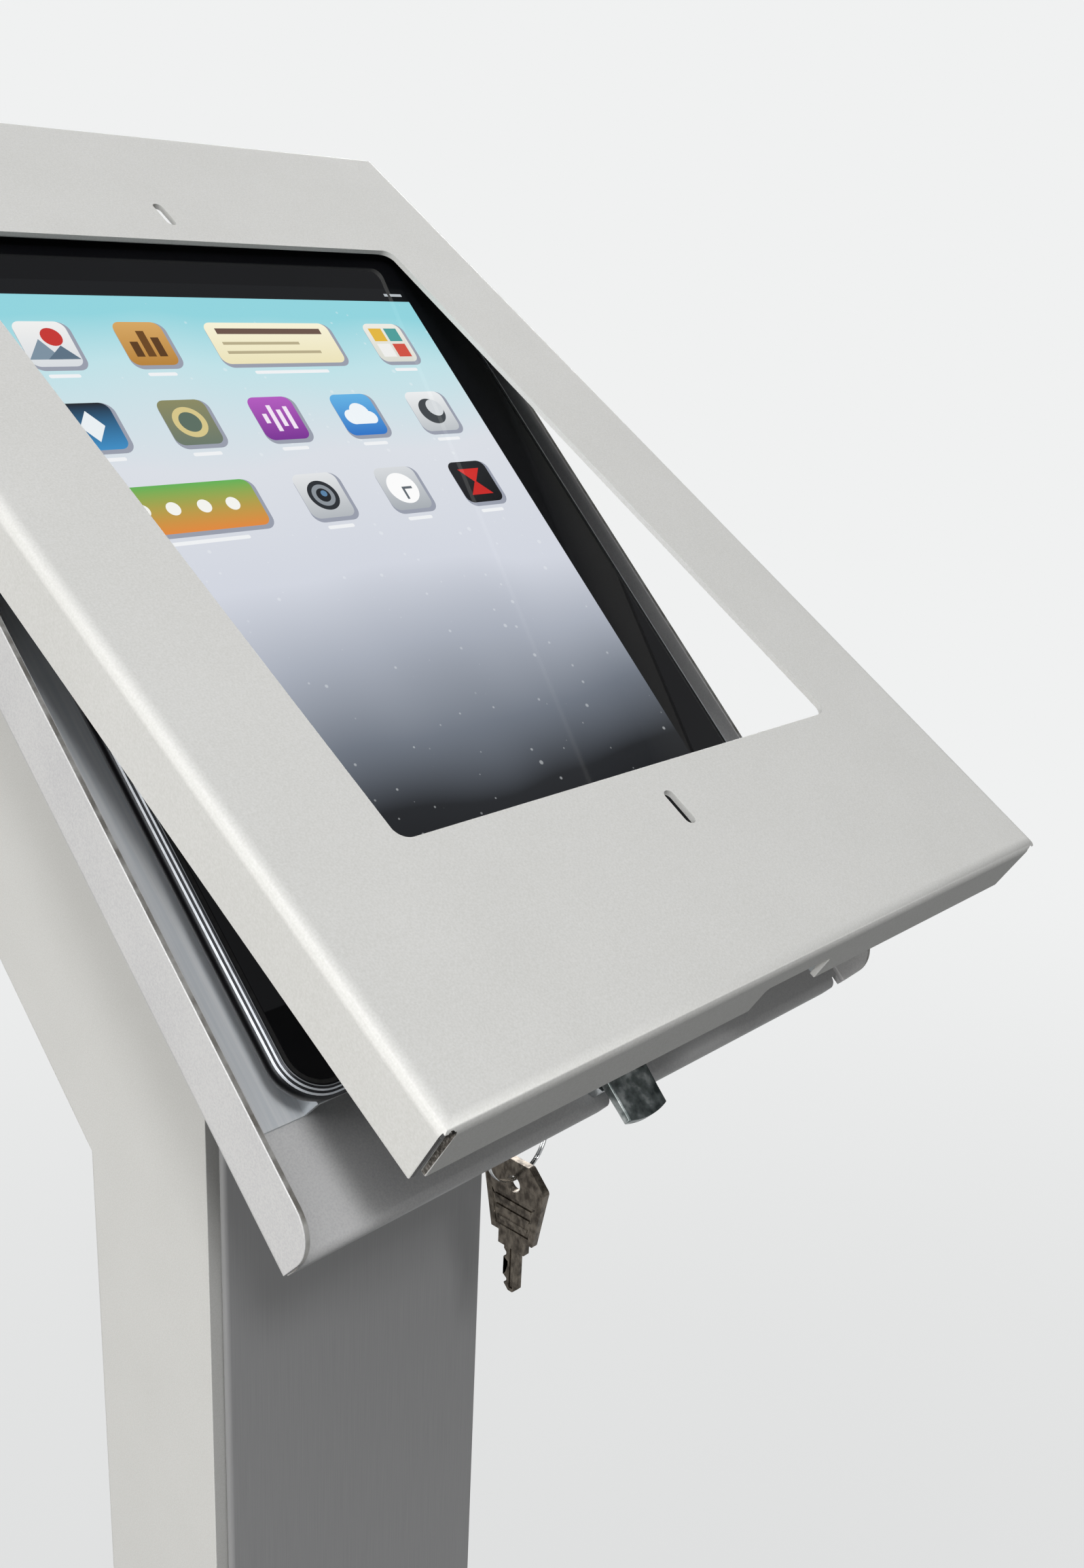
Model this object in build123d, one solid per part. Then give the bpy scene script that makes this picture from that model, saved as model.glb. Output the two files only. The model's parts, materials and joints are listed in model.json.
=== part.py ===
from build123d import *
import os
from math import cos, sin, radians

# Tablet floor stand: a folded post on a plate, a tilted tray with a raised cradle, and a pivoted cover.
# World axes: X to the user's right, Y to the back, Z up. The origin is under the middle of the base.

# Base
BASE_W = 400.0
BASE_D = 400.0
BASE_T = 6.0
BASE_CORNER_R = 20.0
FOOT_R = 15.0
FOOT_H = 3.0
FOOT_INSET = 32.0
FIX_HOLE_R = 4.5
FIX_HOLE_INSET = 60.0

# Post: rear channel, front panel and the dark groove between them
POST_W = 100.0
POST_REAR_Y = 34.0
POST_SHEET = 2.0
POST_FOLD_R = 3.0
GROOVE_W = 6.0
PANEL_FRONT_Y = -34.0
PANEL_T = 2.0
PANEL_EDGE_R = 1.4
PANEL_TOP_GAP = 6.0
LIP_W = 14.0
FOOT_PLATE_T = 8.0
FOOT_PLATE_GAP = 0.3
FOOT_SCREW_R = 4.0
FOOT_SCREW_IN = 18.0
FOOT_SCREW_Y = 18.0
FOOT_SCREW_HEAD_R = 8.0

# Rail that carries the front panel inside the post
RAIL_TO_LIP = 3.0
RAIL_SHEET = 1.5
RAIL_BOTTOM_GAP = 2.0
PANEL_SCREW_R = 2.0
PANEL_SCREW_HEAD_R = 3.5
PANEL_SCREW_HEAD_H = 2.2
PANEL_SCREWS_PER_SIDE = 4

# Cable way
POST_HOLE_R = 12.0
POST_HOLE_UP = 60.0
GROMMET_LIP = 2.5
GROMMET_BORE_R = 7.0
TRAY_HOLE_R = 14.0
TRAY_HOLE_FROM_BACK = 44.0

# Tray, measured in its own slope: S up the slope, N off the floor
TRAY_TILT = 44.0
PIVOT_BEHIND_PANEL = 101.064
TRAY_EDGE_Z = 960.0
TRAY_SIDE_GAP = 9.15
TRAY_SHEET = 1.5
TRAY_FOLD_R = 2.5
TRAY_FLANGE_H = 17.0
TRAY_CORNER_R = 9.2
TRAY_END_PAST_PIVOT = 8.0
TRAY_LIP_H = 6.4
TRAY_RELIEF = 2.2
LIP_NOTCH_X0 = -1.5
LIP_NOTCH_X1 = 13.5
LIP_NOTCH_S = 2.6

# Neck: the deep folded head of the rear channel, under the tray
NECK_DEPTH = 156.5
NECK_BACK_FROM_PIVOT = 38.0
NECK_KNEE_FROM_BACK = 77.0
NECK_SHOULDER_N = -75.0
NECK_FLANGE_W = 22.0
HEAD_BOLT_R = 3.0
HEAD_BOLT_IN = 13.0
HEAD_BOLTS_FROM_BACK = (71.0, 17.0)
HEAD_BOLT_HEAD_R = 5.5
HEAD_BOLT_HEAD_H = 3.0
HEAD_NUT_AF = 10.0
HEAD_NUT_H = 5.0
HEAD_WASHER_R = 7.0
HEAD_WASHER_T = 1.2

# Tablet
TAB_W = 185.7
TAB_L = 241.2
TAB_T = 8.8
TAB_CORNER_R = 11.0
TAB_EDGE_H = 2.6
TAB_BACK_INSET = 9.0
TAB_WALL_T = 1.2
TAB_TO_LOCK = 12.0
GLASS_T = 0.9
GLASS_INSET = 2.6
GASKET_W = 0.9
BEZEL_SIDE = 18.95
BEZEL_END = 22.05
SCREEN_PANEL_T = 2.4
CELL_GAP = 2.0
CELL_TO_BEZEL = 5.9
HOME_R = 5.4
HOME_TRAVEL = 0.4
HOME_DISH = 0.25
KEY_TRAVEL = 0.3
POWER_L = 11.0
POWER_IN = 20.85
VOLUME_L = 20.0
VOLUME_FROM_TOP = 42.0
SIDE_KEY_H = 1.6
SIDE_KEY_PROUD = 0.5

# Cradle that lifts the tablet off the tray floor
CRADLE_TOP_N = 9.0
CRADLE_SHEET = 1.2
CRADLE_SIDE_IN = 11.65
CRADLE_FOOT_W = 11.0
CRADLE_LOW_IN = 1.3
CRADLE_HIGH_IN = 9.2
CRADLE_SLOT_TO_BOLT = 15.0
CRADLE_SLOT_LOW_IN = 38.7
CRADLE_SLOT_HIGH_IN = 42.0
STOP_X = 45.0
STOP_W = 18.0
STOP_TOP_N = 15.5
STOP_GAP = 0.4
PAD_R = 9.0
PAD_H = 1.6
PAD_SIDE_IN = 23.2
PAD_LOW_IN = 22.7
PAD_HIGH_IN = 18.0

# Cover: folded face with a window
COVER_SIDE_GAP = 2.5
COVER_T = 1.5
COVER_FOLD_R = 3.0
COVER_LOW_N = 5.1
COVER_TO_GLASS = 0.4
COVER_PAST_TRAY = 5.3
COVER_PAST_TABLET = 41.5
WINDOW_SIDE_SPARE = 0.1
WINDOW_END_SPARE = 5.4
WINDOW_RAISED = 3.15
WINDOW_R = 3.5
SIDE_FLANGE_SHORT = 1.0
END_FLANGE_SHORT = 3.2
CORNER_RELIEF_R = 1.5
SLOT_L = 10.0
SLOT_W = 3.0
SLOT_TO_WINDOW = 12.5
NOTCH_PAST_CAM = 1.0
NOTCH_SHORT_OF_REACH = 4.3
NOTCH_OVER_CAM = 3.6
NOTCH_R = 1.5
COVER_OPEN = 11.6

# Pivot screws through the side flanges
PIVOT_BELOW_TABLET = 0.2
PIVOT_N = 8.0
PIVOT_R = 3.0
PIVOT_CLEAR = 0.05
PIVOT_HEAD_R = 5.0
PIVOT_HEAD_H = 1.8
PIVOT_WASHER_R = 6.5
PIVOT_NUT_AF = 8.0
PIVOT_NUT_H = 3.0
SLIP = 0.3

# Lock, along N near the tray's lower edge
LOCK_S = 14.0
LOCK_R = 9.0
LOCK_HOLE_CLEAR = 0.2
LOCK_TO_CAM = 0.3
LOCK_FACE_N = -14.0
LOCK_HEAD_R = 11.0
LOCK_HEAD_H = 3.0
LOCK_NUT_AF = 22.0
LOCK_NUT_H = 4.0
PLUG_R = 6.0
PLUG_CLEAR = 0.05
PLUG_SQUARE = 7.0
CAM_OVER_KEEPER = 0.4
CAM_T = 2.5
CAM_W = 14.0
CAM_REACH = 21.3
CAM_HUB_R = 9.5
CAM_SCREW_HEAD_R = 5.0
CAM_SCREW_HEAD_H = 2.4
CAM_SCREW_R = 2.0
KEEPER_TO_NOTCH = 0.6
KEEPER_W = 14.4
KEEPER_REACH = 20.0
KEEPER_LEG = 8.5
KEEPER_T = 1.5

# Keys and their ring
BOW_W = 22.0
BOW_H = 23.0
BOW_T = 2.2
BOW_CHAMFER = 5.5
BOW_FOOT_W = 15.0
KEY_HOLE_R = 2.4
KEY_HOLE_DOWN = 7.0
KEY_COLLAR_W = 9.5
KEY_COLLAR_H = 4.0
BLADE_W = 5.6
BLADE_T = 1.5
BLADE_L = 17.5
KEYWAY_CLEAR = 0.15
RING_R = 11.0
RING_WIRE_R = 0.65
RING_TOUCH = 0.3

# Worked-out places: post
BASE_TOP = FOOT_H + BASE_T
CHANNEL_FRONT_Y = PANEL_FRONT_Y + PANEL_T + GROOVE_W
CHANNEL_LIP_IN = POST_W / 2 - LIP_W
RAIL_W = 2 * (CHANNEL_LIP_IN - RAIL_TO_LIP)
FOOT_SCREW_X = POST_W / 2 - FOOT_SCREW_IN
HEAD_BOLT_X = POST_W / 2 - HEAD_BOLT_IN

# Tablet and cradle on the slope
TILT = radians(TRAY_TILT)
TAB_BOTTOM_S = LOCK_S + TAB_TO_LOCK
TAB_TOP_S = TAB_BOTTOM_S + TAB_L
TAB_BACK_N = CRADLE_TOP_N + PAD_H
TAB_GLASS_N = TAB_BACK_N + TAB_T
SCREEN_W = TAB_W - 2 * BEZEL_SIDE
SCREEN_L = TAB_L - 2 * BEZEL_END
SCREEN_S0 = TAB_BOTTOM_S + BEZEL_END
CRADLE_W = TAB_W - 2 * CRADLE_SIDE_IN
CRADLE_S0 = TAB_BOTTOM_S + CRADLE_LOW_IN
CRADLE_S1 = TAB_TOP_S - CRADLE_HIGH_IN
CRADLE_SLOT_W = 2 * (HEAD_BOLT_X - CRADLE_SLOT_TO_BOLT)
CRADLE_SLOT_S0 = CRADLE_S0 + CRADLE_SLOT_LOW_IN
CRADLE_SLOT_S1 = CRADLE_S1 - CRADLE_SLOT_HIGH_IN
PAD_X = CRADLE_W / 2 - PAD_SIDE_IN
PAD_S0 = CRADLE_S0 + PAD_LOW_IN
PAD_S1 = CRADLE_S1 - PAD_HIGH_IN

# Tray, cover and pivot round the tablet
TRAY_W = TAB_W + 2 * TRAY_SIDE_GAP
PIVOT_S = TAB_TOP_S - PIVOT_BELOW_TABLET
TRAY_END_S = PIVOT_S + TRAY_END_PAST_PIVOT
TRAY_EDGE_Y = PANEL_FRONT_Y + PIVOT_BEHIND_PANEL - PIVOT_S * cos(TILT)
COVER_W = TRAY_W + 2 * (COVER_SIDE_GAP + COVER_T)
COVER_S0 = -COVER_PAST_TRAY
COVER_S1 = TAB_TOP_S + COVER_PAST_TABLET
COVER_IN_N = TAB_GLASS_N + COVER_TO_GLASS
COVER_OUT_N = COVER_IN_N + COVER_T
PIVOT_END_R = COVER_IN_N - PIVOT_N - 0.5
WINDOW_W = SCREEN_W + 2 * WINDOW_SIDE_SPARE
WINDOW_L = SCREEN_L + WINDOW_END_SPARE
WINDOW_S0 = SCREEN_S0 + WINDOW_RAISED

# Neck under the tray
NECK_BACK_S = PIVOT_S - NECK_BACK_FROM_PIVOT
NECK_KNEE_S = NECK_BACK_S - NECK_KNEE_FROM_BACK
HEAD_BOLT_S = [NECK_BACK_S - d for d in HEAD_BOLTS_FROM_BACK]
TRAY_HOLE_S = NECK_BACK_S - TRAY_HOLE_FROM_BACK

# Cam, keeper and notch
CAM_N0 = COVER_LOW_N + KEEPER_T + CAM_OVER_KEEPER
LOCK_TOP_N = CAM_N0 - LOCK_TO_CAM
NOTCH_X0 = -CAM_W / 2 - NOTCH_PAST_CAM
NOTCH_X1 = CAM_REACH - NOTCH_SHORT_OF_REACH
NOTCH_TOP_N = CAM_N0 + CAM_T + NOTCH_OVER_CAM
KEEPER_X0 = NOTCH_X1 + KEEPER_TO_NOTCH
KEEPER_X1 = KEEPER_X0 + KEEPER_W

# The tray's plane: local X is the world's, local Y is S, local Z is N
TRAY = Plane(
    origin=(0, TRAY_EDGE_Y, TRAY_EDGE_Z),
    x_dir=(1, 0, 0),
    z_dir=(0, -sin(TILT), cos(TILT)),
)


def span(x0, x1, y0, y1, z0, z1):
    """A block between two corners."""
    block = Box(x1 - x0, y1 - y0, z1 - z0)
    return Pos((x0 + x1) / 2, (y0 + y1) / 2, (z0 + z1) / 2) * block


def rod(x, y, z0, z1, r):
    """A round bar along local Z."""
    return Pos(x, y, (z0 + z1) / 2) * Cylinder(r, z1 - z0)


def rod_x(x0, x1, y, z, r):
    """A round bar along X."""
    return Pos((x0 + x1) / 2, y, z) * Rot(0, 90, 0) * Cylinder(r, x1 - x0)


def hex_bar(x, y, z0, z1, across_flats, turn=0.0):
    """A hexagonal bar along local Z."""
    outline = RegularPolygon(radius=across_flats / 2, side_count=6, major_radius=False, rotation=turn)
    return Pos(x, y, z0) * extrude(outline, amount=z1 - z0)


def slab(points, x0, x1):
    """A flat plate across X whose outline is given as (y, z) points."""
    face = make_face(Polyline([(0, y, z) for y, z in points], close=True))
    return Pos(x0, 0, 0) * extrude(face, amount=x1 - x0, dir=(1, 0, 0))


def rounded_plate(width, length, radius, z0, z1, y0=0.0):
    """A plate with round corners, from y0 up in Y and centred on X."""
    outline = RectangleRounded(width, length, radius)
    return Pos(0, y0 + length / 2, z0) * extrude(outline, amount=z1 - z0)


def in_tray(shape):
    """Places a shape that is drawn in the tray's slope."""
    return TRAY.location * shape


def in_cover(shape):
    """Places a shape that is drawn on the closed cover, opened to its rest angle."""
    opened = Pos(0, PIVOT_S, PIVOT_N) * Rot(-COVER_OPEN, 0, 0) * Pos(0, -PIVOT_S, -PIVOT_N) * shape
    return TRAY.location * opened


def tray_to_world(s, n):
    """World Y and Z of a point in the tray's slope."""
    y = TRAY_EDGE_Y + s * cos(TILT) - n * sin(TILT)
    z = TRAY_EDGE_Z + s * sin(TILT) + n * cos(TILT)
    return y, z


def under_tray_z(y):
    """World Z of the tray's underside above a world Y."""
    return TRAY_EDGE_Z + (y - TRAY_EDGE_Y) * sin(TILT) / cos(TILT)


PARTS = {}


def keep(name, shape):
    """Stores a finished piece, or a group of like pieces, under its node name."""
    pieces = shape if isinstance(shape, list) else [shape]
    solids = [solid for piece in pieces for solid in piece.solids()]
    PARTS[name] = solids[0] if len(solids) == 1 else Compound(children=solids)


# Base plate, its rubber feet and the screws up into the post


def corner_points(dx, dy):
    return [(sx * dx, sy * dy) for sx in (-1, 1) for sy in (-1, 1)]


def make_base():
    plate = rounded_plate(BASE_W, BASE_D, BASE_CORNER_R, FOOT_H, BASE_TOP, -BASE_D / 2)
    top_edges = plate.faces().sort_by(Axis.Z)[-1].edges()
    plate = fillet(top_edges, 1.2)
    fix_x = BASE_W / 2 - FIX_HOLE_INSET
    fix_y = BASE_D / 2 - FIX_HOLE_INSET
    for x, y in corner_points(fix_x, fix_y):
        plate -= rod(x, y, 0, BASE_TOP + 1, FIX_HOLE_R)
    for x, y in corner_points(FOOT_SCREW_X, FOOT_SCREW_Y):
        plate -= rod(x, y, 0, BASE_TOP + 1, FOOT_SCREW_R + SLIP)
        plate -= screw_cone(x, y, SLIP)
    keep("base_plate", plate)
    feet = []
    for x, y in corner_points(BASE_W / 2 - FOOT_INSET, BASE_D / 2 - FOOT_INSET):
        foot = rod(x, y, 0, FOOT_H, FOOT_R)
        feet.append(fillet(foot.faces().sort_by(Axis.Z)[0].edges(), 0.8))
    keep("base_feet", feet)


def screw_cone(x, y, clear):
    """A countersunk head that ends flush with the plate's underside."""
    head = Cone(FOOT_SCREW_HEAD_R + clear, FOOT_SCREW_R + clear, FOOT_SCREW_HEAD_R - FOOT_SCREW_R)
    return Pos(x, y, FOOT_H + (FOOT_SCREW_HEAD_R - FOOT_SCREW_R) / 2) * head


def make_foot_screws():
    screws = []
    for x, y in corner_points(FOOT_SCREW_X, FOOT_SCREW_Y):
        screw = screw_cone(x, y, 0) + rod(x, y, FOOT_H + 1, BASE_TOP + FOOT_PLATE_T - 1, FOOT_SCREW_R)
        screw -= hex_bar(x, y, FOOT_H - 1, FOOT_H + 2.2, 5.0)
        screws.append(screw)
    keep("base_screws", screws)


def make_foot_plate():
    half_w = POST_W / 2 - POST_SHEET - FOOT_PLATE_GAP
    front = CHANNEL_FRONT_Y + POST_SHEET + FOOT_PLATE_GAP
    rear = POST_REAR_Y - POST_SHEET - FOOT_PLATE_GAP
    plate = span(-half_w, half_w, front, rear, BASE_TOP, BASE_TOP + FOOT_PLATE_T)
    for x, y in corner_points(FOOT_SCREW_X, FOOT_SCREW_Y):
        plate -= rod(x, y, BASE_TOP - 1, BASE_TOP + FOOT_PLATE_T + 1, FOOT_SCREW_R + 0.02)
    keep("foot_plate", plate)


# Post: rear channel with its neck, front panel, rail, screws and grommet


def rear_profile(inset):
    """World (y, z) points down the back of the neck and post, moved in by the sheet's thickness."""
    depth = -NECK_DEPTH + inset
    back_s = NECK_BACK_S - inset
    knee = tray_to_world(NECK_KNEE_S - inset * 0.4, depth)
    shoulder = tray_to_world(back_s, NECK_SHOULDER_N + inset * 0.5)
    rear_y = POST_REAR_Y - inset
    # where the vertical back of the post meets the neck's slope
    slope_y, slope_z = tray_to_world(0, depth)
    bend_z = slope_z + (rear_y - slope_y) * sin(TILT) / cos(TILT)
    return [shoulder, knee, (rear_y, bend_z)]


def neck_outline(inset, over):
    """The channel seen from the side. over runs the open front, foot and top past their edges."""
    back_s = NECK_BACK_S - inset
    front_y = CHANNEL_FRONT_Y - over
    top_n = over
    corner = tray_to_world(back_s, top_n)
    front_top_z = under_tray_z(front_y) + top_n / cos(TILT)
    points = [(front_y, BASE_TOP - over), (front_y, front_top_z), corner]
    points += rear_profile(inset)
    points.append((POST_REAR_Y - inset, BASE_TOP - over))
    return points


def make_post():
    half = POST_W / 2
    outer = slab(neck_outline(0, 0), -half, half)
    rear_edges = [
        edge
        for edge in outer.edges().filter_by(lambda e: abs(abs(e.center().X) - half) < 0.01)
        if edge.center().Y > CHANNEL_FRONT_Y + 20 and edge.length > 20
        and abs(edge.tangent_at(0).X) < 0.01
        and not is_top_edge(edge)
    ]
    outer = fillet(rear_edges, POST_FOLD_R)
    inner = slab(neck_outline(POST_SHEET, 5), -half + POST_SHEET, half - POST_SHEET)
    channel = outer - inner
    lip_top_z = under_tray_z(CHANNEL_FRONT_Y) - 4
    for side in (-1, 1):
        x_out = side * (half - POST_SHEET / 2)
        x_in = side * CHANNEL_LIP_IN
        lip = span(
            min(x_out, x_in), max(x_out, x_in),
            CHANNEL_FRONT_Y, CHANNEL_FRONT_Y + POST_SHEET,
            BASE_TOP, lip_top_z,
        )
        channel += lip
    flange_s0 = (CHANNEL_FRONT_Y + POST_SHEET + 2 - TRAY_EDGE_Y) / cos(TILT)
    for side in (-1, 1):
        x_out = side * (half - POST_SHEET / 2)
        x_in = side * (half - NECK_FLANGE_W)
        flange = span(min(x_out, x_in), max(x_out, x_in), flange_s0, NECK_BACK_S - 1, -POST_SHEET, 0)
        for s in HEAD_BOLT_S:
            flange -= rod(side * HEAD_BOLT_X, s, -10, 10, HEAD_BOLT_R + SLIP)
        channel += in_tray(flange)
    hole = Pos(0, POST_REAR_Y, BASE_TOP + POST_HOLE_UP) * Rot(90, 0, 0) * Cylinder(POST_HOLE_R, 20)
    channel -= hole
    for x, z in panel_screw_points():
        channel -= bar_y(x, z, CHANNEL_FRONT_Y - 1, CHANNEL_FRONT_Y + POST_SHEET + 1, PANEL_SCREW_R + SLIP)

    # the neck is butt welded to the straight channel where the back starts to slope
    weld_z = rear_profile(0)[-1][1]
    below = span(-POST_W, POST_W, CHANNEL_FRONT_Y - 1, POST_REAR_Y + 1, 0, weld_z)
    keep("post_channel", channel & below)
    keep("post_neck", channel - below)
    make_grommet(
        "post_grommet", POST_HOLE_R, POST_SHEET,
        Pos(0, POST_REAR_Y - POST_SHEET / 2, BASE_TOP + POST_HOLE_UP) * Rot(-90, 0, 0),
    )


def is_top_edge(edge):
    """True for the two edges that lie against the tray."""
    mid = edge.center()
    return abs(mid.Z - under_tray_z(mid.Y)) < 1.0


def bar_y(x, z, y0, y1, r):
    """A round bar along Y."""
    return Pos(x, (y0 + y1) / 2, z) * Rot(90, 0, 0) * Cylinder(r, y1 - y0)


def panel_top_z():
    return under_tray_z(PANEL_FRONT_Y) - PANEL_TOP_GAP


def panel_screw_points():
    x = (POST_W / 2 - POST_SHEET + CHANNEL_LIP_IN) / 2
    z0 = BASE_TOP + 40
    z1 = panel_top_z() - 60
    step = (z1 - z0) / (PANEL_SCREWS_PER_SIDE - 1)
    return [(side * x, z0 + i * step) for side in (-1, 1) for i in range(PANEL_SCREWS_PER_SIDE)]


def make_front_panel():
    half = POST_W / 2
    panel = span(-half, half, PANEL_FRONT_Y, PANEL_FRONT_Y + PANEL_T, BASE_TOP + 0.3, panel_top_z())
    long_edges = [
        e for e in panel.edges().filter_by(Axis.Z) if e.center().Y < PANEL_FRONT_Y + 0.1
    ]
    panel = fillet(long_edges, PANEL_EDGE_R)
    keep("front_panel", panel)

    # The rail: its web lies on the panel, its feet go behind the channel's lips
    web_y = PANEL_FRONT_Y + PANEL_T
    rear_y = CHANNEL_FRONT_Y + POST_SHEET + RAIL_SHEET
    z0 = BASE_TOP + FOOT_PLATE_T + RAIL_BOTTOM_GAP
    z1 = panel_top_z() - 10
    half_rail = RAIL_W / 2
    foot_x = POST_W / 2 - POST_SHEET - 1.5
    rail = span(-half_rail, half_rail, web_y, web_y + RAIL_SHEET, z0, z1)
    for side in (-1, 1):
        wall_out = side * half_rail
        wall_in = side * (half_rail - RAIL_SHEET)
        rail += span(min(wall_out, wall_in), max(wall_out, wall_in), web_y, rear_y, z0, z1)
        foot_end = side * foot_x
        rail += span(min(wall_in, foot_end), max(wall_in, foot_end), rear_y - RAIL_SHEET, rear_y, z0, z1)
    screws = []
    for x, z in panel_screw_points():
        rail -= bar_y(x, z, rear_y - RAIL_SHEET - 1, rear_y + 1, PANEL_SCREW_R + 0.02)
        head_y = CHANNEL_FRONT_Y - PANEL_SCREW_HEAD_H
        head = bar_y(x, z, head_y, CHANNEL_FRONT_Y, PANEL_SCREW_HEAD_R)
        head = fillet(head.faces().sort_by(Axis.Y)[0].edges(), 0.8)
        screw = head + bar_y(x, z, CHANNEL_FRONT_Y - 0.5, rear_y + 3, PANEL_SCREW_R)
        screw -= Pos(x, head_y - 1, z) * Rot(-90, 0, 0) * extrude(RegularPolygon(1.5, 6), amount=2.2)
        screws.append(screw)
    keep("panel_rail", rail)
    keep("panel_screws", screws)


def make_grommet(name, hole_r, sheet, place):
    """A rubber ring that clips into a round hole, with a lip on each face."""
    body = Cylinder(hole_r + GROMMET_LIP, sheet + 3.0)
    groove = Cylinder(hole_r + GROMMET_LIP + 1, sheet) - Cylinder(hole_r, sheet)
    body = body - groove - Cylinder(GROMMET_BORE_R, sheet + 8)
    keep(name, place * body)


# Tray and what bolts it to the neck


def tray_side_outline():
    """Side flange of the tray as a face in the S and N plane."""
    length = TRAY_END_S
    height = TRAY_FLANGE_H
    end_r = min(PIVOT_END_R, height - PIVOT_N + 3)
    corner = min(TRAY_CORNER_R, height - TRAY_FOLD_R)
    return length, height, end_r, corner


def make_tray():
    half = TRAY_W / 2
    length, height, end_r, corner = tray_side_outline()
    outer = span(-half, half, 0, length, 0, height)
    bottom_edges = [
        e for e in outer.edges().filter_by(Axis.Y) if e.center().Z < 0.1
    ]
    outer = fillet(bottom_edges, TRAY_FOLD_R)
    inner = span(-half + TRAY_SHEET, half - TRAY_SHEET, -5, length + 5, TRAY_SHEET, height + 5)
    inner_edges = [e for e in inner.edges().filter_by(Axis.Y) if e.center().Z < TRAY_SHEET + 0.1]
    inner = fillet(inner_edges, TRAY_FOLD_R - TRAY_SHEET)
    tray = outer - inner

    # round the flanges' lower upper corners, and end them round about the pivot
    low_cut = span(-half - 1, half + 1, -1, corner, height - corner, height + 1)
    low_cut -= rod_x(-half - 2, half + 2, corner, height - corner, corner)
    tray -= low_cut
    end_block = span(-half - 1, half + 1, PIVOT_S, length + 1, TRAY_SHEET + 0.4, height + 1)
    end_block -= rod_x(-half - 2, half + 2, PIVOT_S, PIVOT_N, end_r)
    end_keep = span(-half - 1, half + 1, PIVOT_S - 1, PIVOT_S + end_r, TRAY_SHEET, PIVOT_N)
    tray -= end_block - end_keep

    # lower lip, bent down, with a relief at each end and the slot beside the lock
    lip_x = half - TRAY_FOLD_R - TRAY_RELIEF
    floor_cut = span(-half + TRAY_FOLD_R, half - TRAY_FOLD_R, -1, TRAY_FOLD_R, -1, TRAY_SHEET + 0.2)
    tray -= floor_cut
    lip_outer = span(-lip_x, lip_x, 0, TRAY_FOLD_R + 0.2, TRAY_SHEET - TRAY_LIP_H, TRAY_SHEET)
    fold_edge = [
        e for e in lip_outer.edges().filter_by(Axis.X)
        if e.center().Y < 0.1 and e.center().Z > TRAY_SHEET - 0.1
    ]
    lip_outer = fillet(fold_edge, TRAY_FOLD_R)
    inside = span(-half, half, TRAY_SHEET, TRAY_FOLD_R + 1, -TRAY_LIP_H - 5, 0)
    inside_edge = [
        e for e in inside.edges().filter_by(Axis.X)
        if e.center().Y < TRAY_SHEET + 0.1 and e.center().Z > -0.1
    ]
    inside = fillet(inside_edge, TRAY_FOLD_R - TRAY_SHEET)
    tray += lip_outer - inside
    notch = span(LIP_NOTCH_X0, LIP_NOTCH_X1, -1, LIP_NOTCH_S, -TRAY_LIP_H - 5, TRAY_SHEET + 1)
    tray -= notch

    # holes
    tray -= rod(0, LOCK_S, -5, 5, LOCK_R + LOCK_HOLE_CLEAR)
    tray -= rod(0, TRAY_HOLE_S, -5, 5, TRAY_HOLE_R)
    for side in (-1, 1):
        tray -= rod_x(side * half - 5, side * half + 5, PIVOT_S, PIVOT_N, PIVOT_R + PIVOT_CLEAR)
        for s in HEAD_BOLT_S:
            tray -= rod(side * HEAD_BOLT_X, s, -5, 5, HEAD_BOLT_R + SLIP)
    keep("tray", in_tray(tray))
    make_grommet(
        "tray_grommet", TRAY_HOLE_R, TRAY_SHEET,
        TRAY.location * Pos(0, TRAY_HOLE_S, TRAY_SHEET / 2),
    )


def make_head_bolts():
    bolts = []
    nuts = []
    washers = []
    under = -POST_SHEET
    for side in (-1, 1):
        for s in HEAD_BOLT_S:
            x = side * HEAD_BOLT_X
            head = rod(x, s, TRAY_SHEET, TRAY_SHEET + HEAD_BOLT_HEAD_H, HEAD_BOLT_HEAD_R)
            head = fillet(head.faces().sort_by(Axis.Z)[-1].edges(), 1.6)
            nut_low = under - HEAD_WASHER_T - HEAD_NUT_H
            bolt = head + rod(x, s, nut_low - 2, TRAY_SHEET + 1, HEAD_BOLT_R)
            head_top = TRAY_SHEET + HEAD_BOLT_HEAD_H
            bolt -= hex_bar(x, s, head_top - 1.8, head_top + 1, 4.0)
            bolts.append(in_tray(bolt))
            washer = rod(x, s, under - HEAD_WASHER_T, under, HEAD_WASHER_R)
            washer -= rod(x, s, under - 5, under + 5, HEAD_BOLT_R + SLIP)
            washers.append(in_tray(washer))
            nut = hex_bar(x, s, nut_low, under - HEAD_WASHER_T, HEAD_NUT_AF)
            nut -= rod(x, s, nut_low - 1, under, HEAD_BOLT_R + 0.02)
            nuts.append(in_tray(nut))
    keep("head_bolts", bolts)
    keep("head_washers", washers)
    keep("head_nuts", nuts)


# Cradle and pads


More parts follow.
